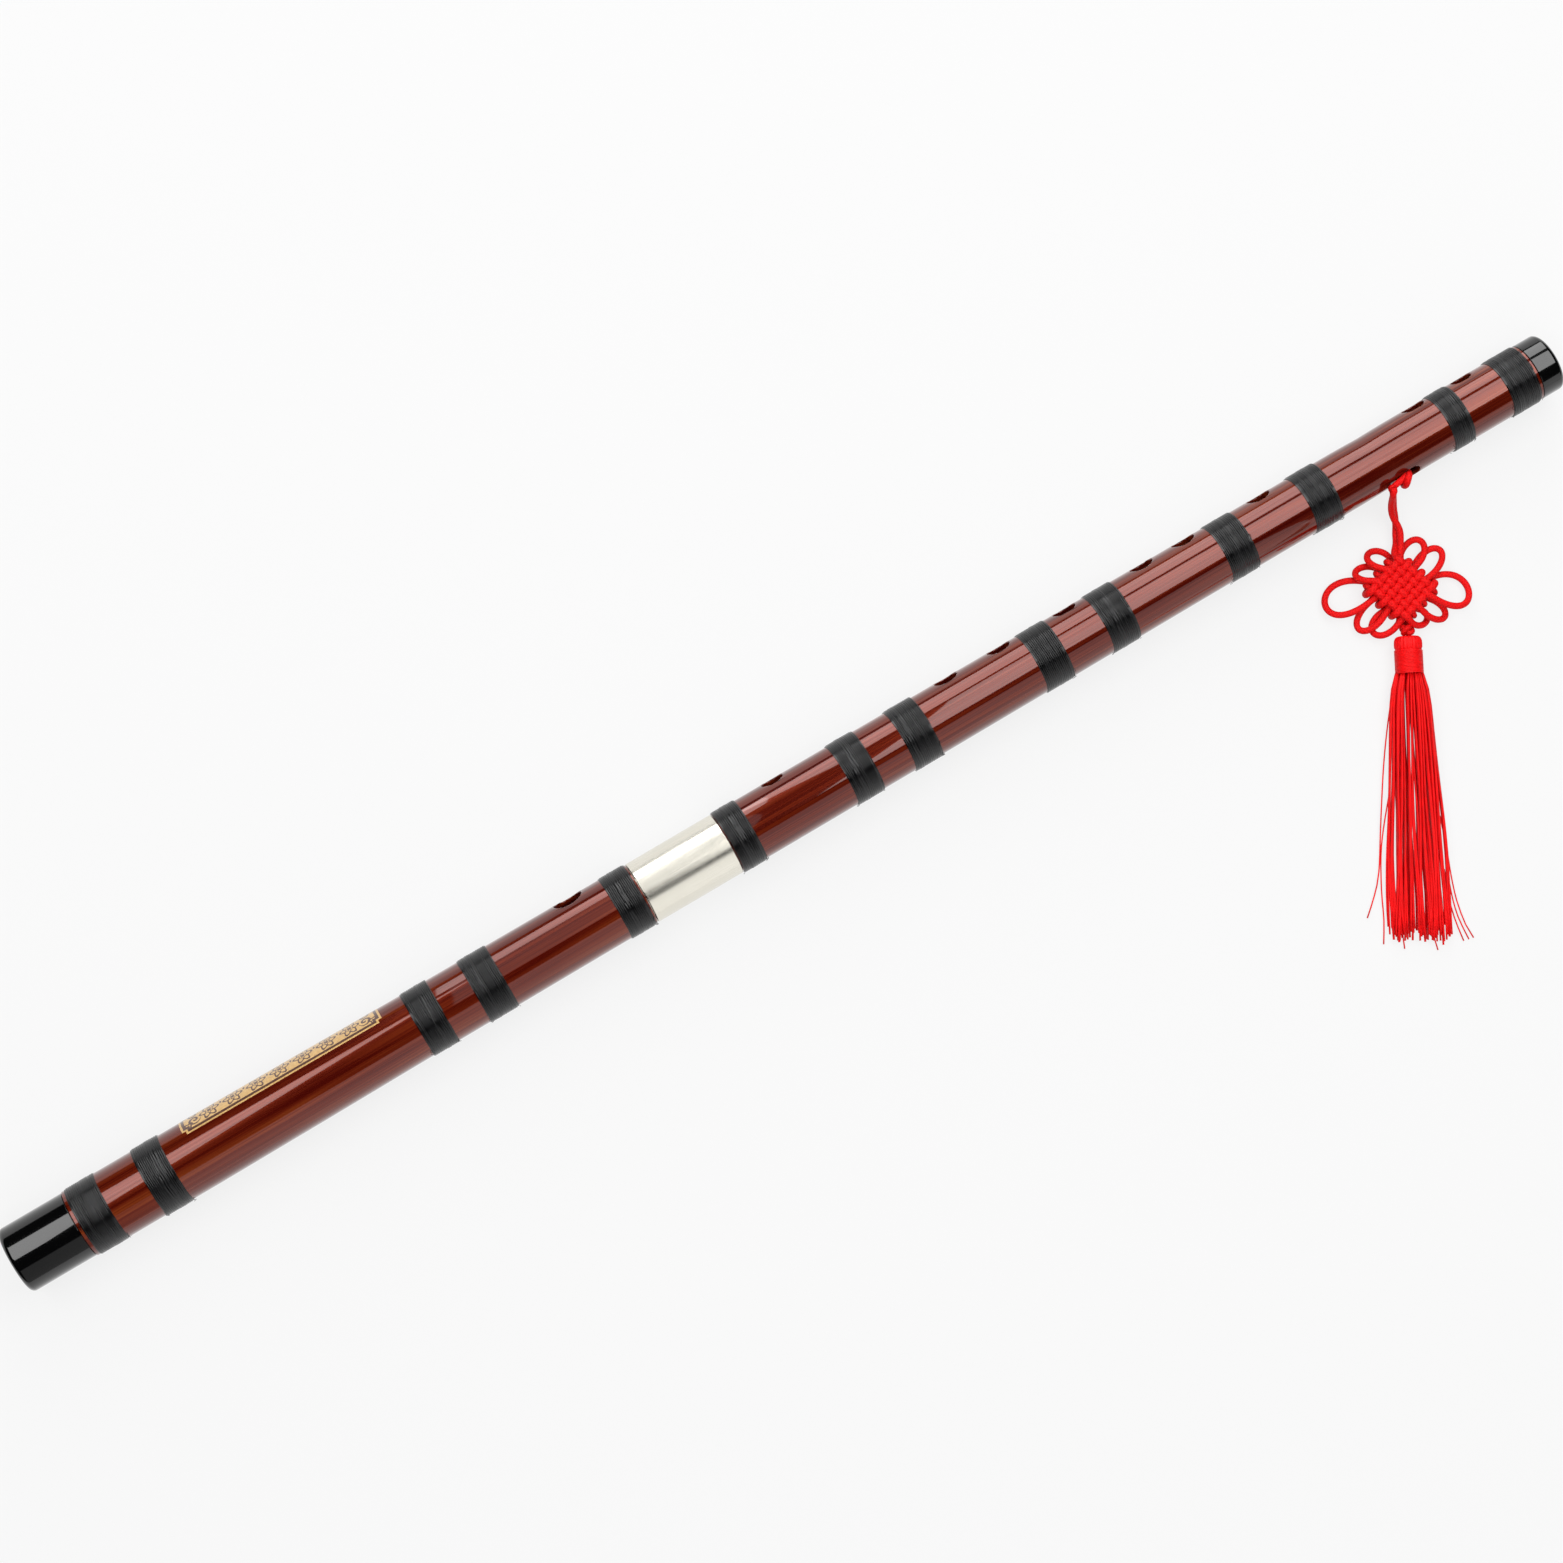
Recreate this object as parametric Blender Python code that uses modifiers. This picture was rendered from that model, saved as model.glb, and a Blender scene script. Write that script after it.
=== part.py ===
"""A two-section transverse bamboo flute (dizi) with a knotted red cord and a tassel, lying down.

Metres, +Z up. The flute lies along X, its head end at -X and its foot end at +X, with X = 0 at
the middle of its length and Z = 0 at the surface that it lies on. The finger holes face +Y and
the tassel lies on the surface on the -Y side.
"""

import math

import bmesh
import bpy
import numpy as np
from mathutils import Matrix, Vector
from mathutils.geometry import interpolate_bezier

MM = 0.001

# The whole flute
LENGTH = 650.6 * MM
FACETS = 28
HALF_FACET = math.pi / FACETS
GAP = 0.3 * MM
HOLE_FACETS = 20

# Bamboo: outer diameter at stations along the flute, in mm, with a slight waist at a joint of the cane
CANE_WIDTHS = (
    (-326.9, 26.0), (-247.9, 26.0), (-204.9, 25.5), (-162.9, 24.8), (-94.9, 24.35), (-31.9, 24.06),
    (36.1, 23.9), (101.1, 23.5), (155.1, 23.0), (235.1, 22.6), (246.1, 22.1), (257.1, 22.5), (329.1, 22.35),
)
BORE_RADIUS = 8.5 * MM

# Thread bindings: (left edge, right edge, outer diameter), in mm
BINDINGS = (
    (-297.8, -286.0, 26.6), (-271.0, -260.1, 26.96), (-161.3, -150.7, 25.6),
    (-137.7, -126.0, 25.45), (-78.9, -68.9, 25.05), (-31.5, -21.9, 25.1),
    (16.9, 28.1, 24.95), (41.5, 53.0, 24.9), (98.0, 109.7, 24.25), (126.8, 138.4, 24.05),
    (178.7, 190.4, 23.6), (215.4, 226.9, 23.7), (276.4, 285.3, 23.35), (302.6, 314.7, 23.35),
)
HEAD_BINDINGS = 5
BINDING_SHOULDER = 0.25 * MM
BINDING_EDGE = 0.8 * MM
GROOVE_DEPTH = 0.6 * MM
GROOVE_SLOPE = 0.0001 * MM

# The widest binding carries the flute, so the flute's axis is its flat-to-flat radius above Z = 0
AXIS_HEIGHT = max(width for _, _, width in BINDINGS) / 2 * MM * math.cos(HALF_FACET)

# End caps
HEAD_CAP_RIM = -299.2 * MM
HEAD_CAP_RADIUS = 12.7 * MM
FOOT_CAP_RIM = 316.0 * MM
FOOT_CAP_RADIUS = 11.3 * MM
CAP_WALL = 1.4 * MM
CAP_END_WALL = 2.6 * MM
CAP_ROUNDING = 1.6 * MM

# The joint between the two sections
HEAD_TUBE_END = -67.8 * MM
SLEEVE_START = -67.5 * MM
SLEEVE_END = -31.9 * MM
SLEEVE_RADIUS = 12.03 * MM
SOCKET_RADIUS = 10.4 * MM
SPIGOT_RADIUS = 10.0 * MM
SPIGOT_LENGTH = 8 * MM
TENON_RADIUS = 9.95 * MM
TENON_BORE_RADIUS = 8.8 * MM
TENON_START = -81.9 * MM
TENON_END = -40.9 * MM

# The cork stopper beside the blow hole
CORK_START = -112.9 * MM
CORK_END = -100.9 * MM

# Holes: (name, position along the flute, length along it, width across it), in mm
SOUND_HOLE_ANGLE = math.radians(78)
HEAD_HOLES = (("blow_hole", -92.0, 11.6, 10.0),)
FOOT_HOLES = (
    ("membrane_hole", -6.2, 8.9, 8.2),
    ("finger_hole_1", 67.6, 9.5, 8.6),
    ("finger_hole_2", 90.2, 9.5, 8.6),
    ("finger_hole_3", 118.5, 9.5, 8.6),
    ("finger_hole_4", 151.8, 9.5, 8.6),
    ("finger_hole_5", 169.9, 9.5, 8.6),
    ("finger_hole_6", 202.7, 9.5, 8.6),
    ("tuning_hole_1", 270.7, 9.4, 8.2),
    ("tuning_hole_2", 291.8, 8.6, 8.0),
)
TASSEL_HOLE = ("tassel_hole", 257.0, 8.2, 8.0)
TASSEL_HOLE_ANGLES = (math.radians(-71), math.radians(-135))
CUTTER_INNER = 4 * MM
CUTTER_OUTER = 20 * MM

# The hitch: a cord ring through both tassel holes with a small ball at the first one
RING_CORD_RADIUS = 1.0 * MM
RING_X = 255.3 * MM
RING_INNER = 6.9 * MM
RING_OUTER = 12.9 * MM
BALL_RADIUS = 2.2 * MM
BALL_REACH = 11.6 * MM
BALL_ANGLE = math.radians(-66)

# The knot, square on its corner: twelve rows of doubled cord woven in a front and a back layer
CORD_RADIUS = 0.75 * MM
KNOT_CENTRE = Vector((235.5, -44.95, 4.8)) * MM
KNOT_TURN = math.radians(-24.8)
KNOT_RIGHT = Vector((math.cos(KNOT_TURN), math.sin(KNOT_TURN), 0))
KNOT_DOWN = Vector((math.sin(KNOT_TURN), -math.cos(KNOT_TURN), 0))
KNOT_UP = Vector((0, 0, 1))
KNOT_WIDTH = 27.5 * MM
KNOT_HEIGHT = 25.0 * MM
ROWS = 6
LAYER_HEIGHT = 2.3 * MM
WEAVE_HEIGHT = 1.3 * MM
FLAT_SHARE = 0.25
BEND_REACH = 1.75 * MM
EAR_POINTS = 8
LOOP_POINTS = 14
EAR_SPLAY = 7.0 * MM
LOOP_SPLAY = 19.0 * MM
EAR_TILT = 1.85 * MM
TIP_DROP = -2.4 * MM

# Tips of the ears from the knot's centre, in mm: (right, down), from the top corner to the bottom one
LEFT_UPPER_EARS = ((-10.9, -15.6), (-17.3, -9.2))
LEFT_LOOP = (-30.0, 1.0)
LEFT_LOWER_EARS = ((-18.3, 12.4), (-11.2, 17.5))
RIGHT_UPPER_EARS = ((10.4, -17.6), (18.2, -12.4))
RIGHT_LOOP = (27.4, 2.0)
RIGHT_LOWER_EARS = ((15.6, 11.9), (8.8, 15.6))

# The doubled cord from the hitch down to the knot: its middle line, in mm, and half its spacing
HANGING_ROUTE = (
    (253.3, -14.0, 15.9), (251.6, -14.9, 12.6), (249.7, -16.8, 9.0), (248.0, -20.2, 5.9),
    (246.4, -24.4, 4.4), (244.3, -28.3, 4.2), (242.7, -31.4, 4.4),
)
HANGING_SPREAD = 1.25 * MM

# Where it enters the knot, from the knot's centre, in mm: (out from the middle, down, up)
ENTRY = (1.6, -13.2, 1.2)

# The short tails below the knot, from the knot's centre, in mm: (out from the middle, down, up)
TAIL_ROUTE = ((1.2, 11.6, -2.3), (1.15, 12.4, -2.1), (0.95, 12.95, -1.5))
TURN_POINTS = 3

# The tassel below the knot, measured along its own line from the middle of the button knot
BUTTON_DROP = 15.0 * MM
BUTTON_RADIUS = 2.3 * MM
TASSEL_TURN = math.radians(-118)
TASSEL_DIRECTION = Vector((math.cos(TASSEL_TURN), math.sin(TASSEL_TURN), 0))
TASSEL_TOP = 2.7 * MM
BAND_START = 8.4 * MM
BAND_END = 17.2 * MM
NECK_RADIUS = 4.3 * MM
BAND_RADIUS = 5.4 * MM
BAND_SHOULDER = 0.3 * MM
BAND_EDGE = 1.0 * MM
DOME_RADIUS = 5.2 * MM
TASSEL_FACETS = 20
SKIRT_START = 17.5 * MM

# Skirt sections: (distance along the tassel, width, thickness), in mm
SKIRT_SECTIONS = (
    (17.5, 10.8, 10.0), (24.0, 14.0, 9.8), (34.0, 17.4, 8.8), (50.0, 19.6, 7.6),
    (66.0, 21.2, 6.6), (84.0, 23.8, 5.8), (102.0, 25.0, 5.0), (116.0, 25.2, 4.4),
)
SKIRT_POINTS = 28
SKIRT_FOLDS = 7
FOLD_DEPTH = 0.06
SKIRT_CLEARANCE = 0.1 * MM


def clear_scene():
    """Empties the scene."""
    for old in list(bpy.data.objects):
        bpy.data.objects.remove(old, do_unlink=True)


def new_collection(name):
    """A collection linked to the scene."""
    collection = bpy.data.collections.new(name)
    bpy.context.scene.collection.children.link(collection)
    return collection


def new_material(name, colour, roughness, metallic=0.0):
    """A plain Principled material."""
    material = bpy.data.materials.new(name)
    material.use_nodes = True
    shader = material.node_tree.nodes["Principled BSDF"]
    shader.inputs["Base Color"].default_value = (*colour, 1)
    shader.inputs["Roughness"].default_value = roughness
    shader.inputs["Metallic"].default_value = metallic
    material.diffuse_color = (*colour, 1)
    return material


clear_scene()
PARTS = new_collection("Flute")
CUTTERS = new_collection("Cutters")
LACQUER = new_material("red_lacquered_bamboo", (0.20, 0.035, 0.018), 0.15)
THREAD = new_material("black_thread", (0.012, 0.012, 0.014), 0.45)
HORN = new_material("black_horn", (0.006, 0.006, 0.007), 0.10)
NICKEL = new_material("nickel_silver", (0.66, 0.63, 0.55), 0.28, 1.0)
CORK = new_material("cork", (0.48, 0.30, 0.16), 0.85)
RED_CORD = new_material("red_cord", (0.78, 0.008, 0.008), 0.55)
RED_SILK = new_material("red_silk", (0.72, 0.008, 0.010), 0.40)


def joint_empty(name, place):
    """An empty on a joint's axis, which carries the pieces that the joint moves."""
    empty = bpy.data.objects.new(name, None)
    empty.empty_display_size = 10 * MM
    empty.location = place
    PARTS.objects.link(empty)
    return empty


def carry(piece, empty):
    """Parents a piece to a joint's empty and leaves it in place."""
    piece.parent = empty
    piece.matrix_parent_inverse = Matrix.Translation(empty.location).inverted()


def smooth(mesh):
    """Smooth shading with the corners kept sharp."""
    mesh.shade_smooth()
    mesh.set_sharp_from_angle(angle=math.radians(35))


def fix_shape(piece):
    """Applies a piece's modifiers and shades it."""
    bpy.context.view_layer.update()
    evaluated = piece.evaluated_get(bpy.context.evaluated_depsgraph_get())
    mesh = bpy.data.meshes.new_from_object(evaluated)
    mesh.name = piece.name
    piece.modifiers.clear()
    piece.data = mesh
    smooth(mesh)


def turned(name, outline, material, collection=PARTS, facets=FACETS):
    """Turns a closed outline of (distance along the axis, radius) about the object's own Z axis.
    The outline runs down the outer side and back up the inner side. A flat, not an edge, faces
    the object's +X axis."""
    start = math.pi / facets
    mesh = bpy.data.meshes.new(name)
    points = [(r * math.cos(start), r * math.sin(start), z) for z, r in outline]
    edges = [(i, (i + 1) % len(points)) for i in range(len(points))]
    if outline[0][1] == 0 and outline[-1][1] == 0:
        edges.pop()
    mesh.from_pydata(points, edges, [])
    mesh.materials.append(material)
    piece = bpy.data.objects.new(name, mesh)
    collection.objects.link(piece)
    screw = piece.modifiers.new("turn", "SCREW")
    screw.steps = screw.render_steps = facets
    screw.use_merge_vertices = True
    screw.merge_threshold = 0.00001
    return piece


def lay_along_flute(piece):
    """Stands a turned piece on the flute's axis: its Z axis becomes the flute's X axis and its
    +X side faces down."""
    piece.rotation_euler = (0, math.pi / 2, 0)
    piece.location = (0, 0, AXIS_HEIGHT)


def cane_radius(x):
    """Outer radius of the bamboo at x."""
    stations, widths = zip(*CANE_WIDTHS)
    return float(np.interp(x / MM, stations, widths)) / 2 * MM


def cane_outline(head_end, foot_end, bindings):
    """Outer line of a bamboo section between two ends, foot end first, with its binding grooves."""
    line = [(x * MM, width / 2 * MM) for x, width in CANE_WIDTHS if head_end < x * MM < foot_end]
    line += [(head_end, cane_radius(head_end)), (foot_end, cane_radius(foot_end))]
    for left, right, _ in bindings:
        low, high = left * MM - GAP, right * MM + GAP
        line = [(x, r) for x, r in line if not low <= x <= high]
        floor = cane_radius((low + high) / 2) - GROOVE_DEPTH
        line += [(high - GROOVE_SLOPE, floor), (low + GROOVE_SLOPE, floor)]
        line += [(x, cane_radius(x)) for x in (high, low) if head_end < x < foot_end]
    return sorted(line, reverse=True)


def make_binding(number, left, right, width):
    """One band of thread: a sleeve in its groove, slightly lower at its edges."""
    left, right, outer = left * MM, right * MM, width / 2 * MM
    inner = cane_radius((left + right) / 2) - GROOVE_DEPTH + GAP
    outline = (
        (right, outer - BINDING_SHOULDER), (right - BINDING_EDGE, outer),
        (left + BINDING_EDGE, outer), (left, outer - BINDING_SHOULDER),
        (left, inner), (right, inner),
    )
    piece = turned(f"binding_{number:02d}", outline, THREAD)
    lay_along_flute(piece)
    fix_shape(piece)
    return piece


def make_head_cap():
    """The head end's cap: a ring with a lip, over the bamboo's turned-down end."""
    end, rim, outer = -LENGTH / 2, HEAD_CAP_RIM, HEAD_CAP_RADIUS
    outline = (
        (rim, outer), (end + CAP_ROUNDING, outer),
        (end + CAP_ROUNDING * 0.3, outer - CAP_ROUNDING * 0.3), (end, outer - CAP_ROUNDING),
        (end, BORE_RADIUS), (end + CAP_END_WALL, BORE_RADIUS),
        (end + CAP_END_WALL, outer - CAP_WALL), (rim, outer - CAP_WALL),
    )
    piece = turned("head_cap", outline, HORN)
    lay_along_flute(piece)
    fix_shape(piece)
    return piece


def make_foot_cap():
    """The foot end's cap, the same ring turned round and slimmer."""
    end, rim, outer = LENGTH / 2, FOOT_CAP_RIM, FOOT_CAP_RADIUS
    outline = (
        (end, outer - CAP_ROUNDING), (end - CAP_ROUNDING * 0.3, outer - CAP_ROUNDING * 0.3),
        (end - CAP_ROUNDING, outer), (rim, outer), (rim, outer - CAP_WALL),
        (end - CAP_END_WALL, outer - CAP_WALL), (end - CAP_END_WALL, BORE_RADIUS),
        (end, BORE_RADIUS),
    )
    piece = turned("foot_cap", outline, HORN)
    lay_along_flute(piece)
    fix_shape(piece)
    return piece


def drill(piece, name, x, length, width, angle):
    """Drills an oval hole through one wall of a tube. The angle is from straight up, towards +Y."""
    mesh = bpy.data.meshes.new(name)
    shape = bmesh.new()
    bmesh.ops.create_cone(
        shape, cap_ends=True, segments=HOLE_FACETS, radius1=0.5, radius2=0.5, depth=1.0
    )
    bmesh.ops.scale(shape, vec=(length, width, CUTTER_OUTER - CUTTER_INNER), verts=shape.verts)
    bmesh.ops.translate(shape, vec=(0, 0, (CUTTER_OUTER + CUTTER_INNER) / 2), verts=shape.verts)
    shape.to_mesh(mesh)
    shape.free()
    cutter = bpy.data.objects.new(name, mesh)
    cutter.location = (x, 0, AXIS_HEIGHT)
    cutter.rotation_euler = (-angle, 0, 0)
    cutter.hide_render = True
    cutter.display_type = "WIRE"
    CUTTERS.objects.link(cutter)
    hole = piece.modifiers.new(name, "BOOLEAN")
    hole.operation = "DIFFERENCE"
    hole.object = cutter


def make_head_tube():
    """The head section's bamboo: spigot for the cap, five grooves, socket for the tenon."""
    shoulder = HEAD_CAP_RIM + GAP
    spigot = HEAD_CAP_RADIUS - CAP_WALL - GAP
    spigot_end = -LENGTH / 2 + CAP_END_WALL + GAP
    socket_floor = TENON_START - GAP
    outline = cane_outline(shoulder, HEAD_TUBE_END, BINDINGS[:HEAD_BINDINGS])
    outline += [
        (shoulder, spigot), (spigot_end, spigot), (spigot_end, BORE_RADIUS),
        (socket_floor, BORE_RADIUS), (socket_floor, SOCKET_RADIUS), (HEAD_TUBE_END, SOCKET_RADIUS),
    ]
    piece = turned("head_tube", outline, LACQUER)
    lay_along_flute(piece)
    for name, x, length, width in HEAD_HOLES:
        drill(piece, name, x * MM, length * MM, width * MM, SOUND_HOLE_ANGLE)
    fix_shape(piece)
    return piece


def make_foot_tube():
    """The foot section's bamboo: spigot in the sleeve, nine grooves, eleven holes, spigot for the cap."""
    shoulder = FOOT_CAP_RIM - GAP
    spigot = FOOT_CAP_RADIUS - CAP_WALL - GAP
    spigot_end = LENGTH / 2 - CAP_END_WALL - GAP
    joint_face = SLEEVE_END + GAP
    outline = [(spigot_end, spigot), (shoulder, spigot)]
    outline += cane_outline(joint_face, shoulder, BINDINGS[HEAD_BINDINGS:])
    if outline[-1][0] > joint_face:
        outline.append((joint_face, outline[-1][1]))
    outline += [
        (joint_face, SPIGOT_RADIUS), (SLEEVE_END - SPIGOT_LENGTH, SPIGOT_RADIUS),
        (SLEEVE_END - SPIGOT_LENGTH, BORE_RADIUS), (spigot_end, BORE_RADIUS),
    ]
    piece = turned("foot_tube", outline, LACQUER)
    lay_along_flute(piece)
    for name, x, length, width in FOOT_HOLES:
        drill(piece, name, x * MM, length * MM, width * MM, SOUND_HOLE_ANGLE)
    name, x, length, width = TASSEL_HOLE
    for number, angle in enumerate(TASSEL_HOLE_ANGLES, 1):
        drill(piece, f"{name}_{number}", x * MM, length * MM, width * MM, angle)
    fix_shape(piece)
    return piece


def make_plain_ring(name, start, end, outer, inner, material):
    """A plain tube between two places on the flute's axis."""
    outline = ((end, outer), (start, outer), (start, inner), (end, inner))
    piece = turned(name, outline, material)
    lay_along_flute(piece)
    fix_shape(piece)
    return piece


def make_cork():
    """The cork stopper, a plug that closes the bore beside the blow hole."""
    radius = BORE_RADIUS - GAP
    outline = ((CORK_END, 0), (CORK_END, radius), (CORK_START, radius), (CORK_START, 0))
    piece = turned("head_cork", outline, CORK)
    lay_along_flute(piece)
    fix_shape(piece)
    return piece


def make_tube(name, points, radius, origin, material, cyclic=False):
    """A round cord through points, as a mesh whose origin is the given place."""
    curve = bpy.data.curves.new(name, "CURVE")
    curve.dimensions = "3D"
    curve.bevel_depth = radius
    curve.bevel_resolution = 1
    curve.use_fill_caps = not cyclic
    spline = curve.splines.new("POLY")
    spline.points.add(len(points) - 1)
    for spot, point in zip(spline.points, points):
        spot.co = (*(point - origin), 1)
    spline.use_cyclic_u = cyclic
    guide = bpy.data.objects.new(f"{name}_line", curve)
    guide.location = origin
    PARTS.objects.link(guide)
    bpy.context.view_layer.update()
    evaluated = guide.evaluated_get(bpy.context.evaluated_depsgraph_get())
    mesh = bpy.data.meshes.new_from_object(evaluated)
    shape = bmesh.new()
    shape.from_mesh(mesh)
    bmesh.ops.remove_doubles(shape, verts=shape.verts, dist=0.00001)
    shape.to_mesh(mesh)
    shape.free()
    mesh.materials.clear()
    mesh.materials.append(material)
    smooth(mesh)
    piece = bpy.data.objects.new(name, mesh)
    piece.matrix_world = guide.matrix_world.copy()
    PARTS.objects.link(piece)
    bpy.data.objects.remove(guide)
    return piece


def around_flute(x, radius, angle):
    """A point at a radius from the flute's axis, at an angle from straight up towards +Y."""
    return Vector((x, radius * math.sin(angle), AXIS_HEIGHT + radius * math.cos(angle)))


BALL_CENTRE = around_flute(RING_X, BALL_REACH, BALL_ANGLE)


def make_hitch():
    """The hitch: a cord ring that runs out of one tassel hole, round the outside and into the
    other, with the ball that the doubled cord hangs from."""
    first, second = TASSEL_HOLE_ANGLES
    steps = [i / 6 for i in range(7)]
    outside = [around_flute(RING_X, RING_OUTER, first + (second - first) * t) for t in steps]
    inside = [around_flute(RING_X, RING_INNER, second + (first - second) * t) for t in steps]
    piece = make_tube(
        "tassel_hitch", outside + inside, RING_CORD_RADIUS, BALL_CENTRE, RED_CORD, cyclic=True
    )
    bpy.ops.mesh.primitive_uv_sphere_add(
        segments=16, ring_count=10, radius=BALL_RADIUS, location=BALL_CENTRE
    )
    ball = bpy.context.object
    ball.name = "hitch_ball"
    ball.hide_render = True
    ball.display_type = "WIRE"
    ball.users_collection[0].objects.unlink(ball)
    CUTTERS.objects.link(ball)
    union = piece.modifiers.new("ball", "BOOLEAN")
    union.operation = "UNION"
    union.object = ball
    fix_shape(piece)
    return piece


def knot_point(right, down, up):
    """A place given from the knot's centre."""
    return KNOT_CENTRE + KNOT_RIGHT * right + KNOT_DOWN * down + KNOT_UP * up


def woven_point(family, row, along, up):
    """A place on a row: family 0 slants down to the right, family 1 down to the left. Rows and
    the place along a row count from the knot's top corner, in crossings."""
    here, there = (along, row) if family == 0 else (row, along)
    middle = (ROWS - 1) / 2
    right = (here - there) * KNOT_WIDTH / 2 / ROWS
    down = (here + there - 2 * middle) * KNOT_HEIGHT / 2 / ROWS
    return knot_point(right, down, up)


def strand_height(family, row, crossing, front):
    """Height of a strand above the knot's middle plane where it crosses another."""
    outside = (row + crossing + family) % 2 == 0
    height = LAYER_HEIGHT + (WEAVE_HEIGHT if outside else -WEAVE_HEIGHT)
    return height if front else -height


def strand(family, row, front, forward):
    """The points of one strand across the knot, two at each crossing."""
    line = []
    for crossing in range(ROWS):
        up = strand_height(family, row, crossing, front)
        for side in (-FLAT_SHARE, FLAT_SHARE):
            line.append(woven_point(family, row, crossing + side, up))
    return line if forward else line[::-1]


def hairpin(family, row, forward):
    """A doubled row: out on the front, round a tight bend and back on the back."""
    out = strand(family, row, True, forward)
    back = strand(family, row, False, not forward)
    outward = (out[-1] - out[-2]).normalized()
    middle = (out[-1] + back[0]) / 2
    half = (out[-1] - back[0]) / 2
    angles = [math.radians(a) for a in (45, 90, 135)]
    bend = [middle + half * math.cos(a) + outward * BEND_REACH * math.sin(a) for a in angles]
    return out + bend + back


def ear(start, end, tip, splay, count):
    """The points of a loop that leaves the knot's back, reaches a tip and returns to its front."""
    peak = knot_point(tip[0] * MM, tip[1] * MM, TIP_DROP)
    handle = (peak * 8 - start - end) / 6
    across = end - start
    across.z = 0
    side = across.normalized() * splay + KNOT_UP * EAR_TILT
    return interpolate_bezier(start, handle - side, handle + side, end, count + 1)[1:-1]


def half_knot(family, upper_ears, loop, lower_ears):
    """One half of the cord through the knot, from the top corner to the bottom one."""
    rows = [hairpin(family, row, True) for row in (0, 2, 4)]
    rows += [hairpin(1 - family, row, False) for row in (1, 3, 5)]
    tips = (*upper_ears, loop, *lower_ears)
    line = list(rows[0])
    for row, tip in zip(rows[1:], tips):
        wide = tip is loop
        splay, count = (LOOP_SPLAY, LOOP_POINTS) if wide else (EAR_SPLAY, EAR_POINTS)
        line += ear(line[-1], row[0], tip, splay, count) + row
    return line


def hanging_strand(side):
    """One strand of the doubled cord from the hitch to the knot, to the left (-1) or right (1)."""
    route = [Vector(p) * MM for p in HANGING_ROUTE]
    line = []
    for i, place in enumerate(route):
        ahead = route[min(i + 1, len(route) - 1)] - route[max(i - 1, 0)]
        sideways = ahead.cross(KNOT_UP).normalized()
        line.append(place - sideways * side * HANGING_SPREAD)
    right, down, up = ENTRY
    line.append(knot_point(side * right * MM, down * MM, up * MM))
    return line


def turn_at_top(left, right):
    """The half turn that joins the two hanging strands just below the hitch."""
    middle, half = (left + right) / 2, (right - left) / 2
    upward = (BALL_CENTRE - middle).normalized()
    angles = [math.pi * (i + 1) / (TURN_POINTS + 1) for i in range(TURN_POINTS)]
    return [middle - half * math.cos(a) + upward * half.length * math.sin(a) for a in angles]


def tail(side):
    """The short end of the cord from the knot's bottom corner to the button knot."""
    return [knot_point(side * right * MM, down * MM, up * MM) for right, down, up in TAIL_ROUTE]


def cord_line():
    """The whole cord, from one tail through the knot, up to the hitch, and back to the other."""
    left = half_knot(0, LEFT_UPPER_EARS, LEFT_LOOP, LEFT_LOWER_EARS) + tail(-1)
    right = half_knot(1, RIGHT_UPPER_EARS, RIGHT_LOOP, RIGHT_LOWER_EARS) + tail(1)
    left_hanging, right_hanging = hanging_strand(-1), hanging_strand(1)
    turn = turn_at_top(left_hanging[0], right_hanging[0])
    return left[::-1] + left_hanging[::-1] + turn + right_hanging + right


def least_gap(line, radius, skip=8 * MM):
    """The least gap between stretches of a cord that lie further apart along it than skip."""
    dense, travelled, total = [], [], 0.0
    for a, b in zip(line, line[1:]):
        for t in (0.0, 0.25, 0.5, 0.75):
            dense.append(a.lerp(b, t))
            travelled.append(total + (b - a).length * t)
        total += (b - a).length
    spots, travelled = np.array(dense), np.array(travelled)
    least = math.inf
    for i in range(len(spots)):
        far = travelled > travelled[i] + skip
        if far.any():
            least = min(least, float(np.linalg.norm(spots[far] - spots[i], axis=1).min()))
    return least - 2 * radius, total


def make_cord():
    """The one cord that hangs from the hitch and makes the knot."""
    line = cord_line()
    gap, length = least_gap(line, CORD_RADIUS)
    print(f"tassel cord: {length / MM:.0f} mm long, least gap to itself {gap / MM:.2f} mm")
    return make_tube("tassel_cord", line, CORD_RADIUS, BALL_CENTRE, RED_CORD)


BUTTON_CENTRE = knot_point(0, BUTTON_DROP, 0)


def make_button():
    """The button knot below the woven one."""
    bpy.ops.mesh.primitive_uv_sphere_add(
        segments=16, ring_count=10, radius=BUTTON_RADIUS, location=BUTTON_CENTRE
    )
    piece = bpy.context.object
    piece.name = "button_knot"
    piece.data.materials.append(RED_CORD)
    smooth(piece.data)
    piece.users_collection[0].objects.unlink(piece)
    PARTS.objects.link(piece)
    return piece


def lay_along_tassel(piece):
    """Points a turned piece's Z axis back towards the knot, with its origin below the button
    knot's middle, at the height where the tassel lies."""
    piece.rotation_euler = (0, math.pi / 2, TASSEL_TURN + math.pi)
    piece.location = (BUTTON_CENTRE.x, BUTTON_CENTRE.y, BAND_RADIUS + SKIRT_CLEARANCE)


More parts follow.
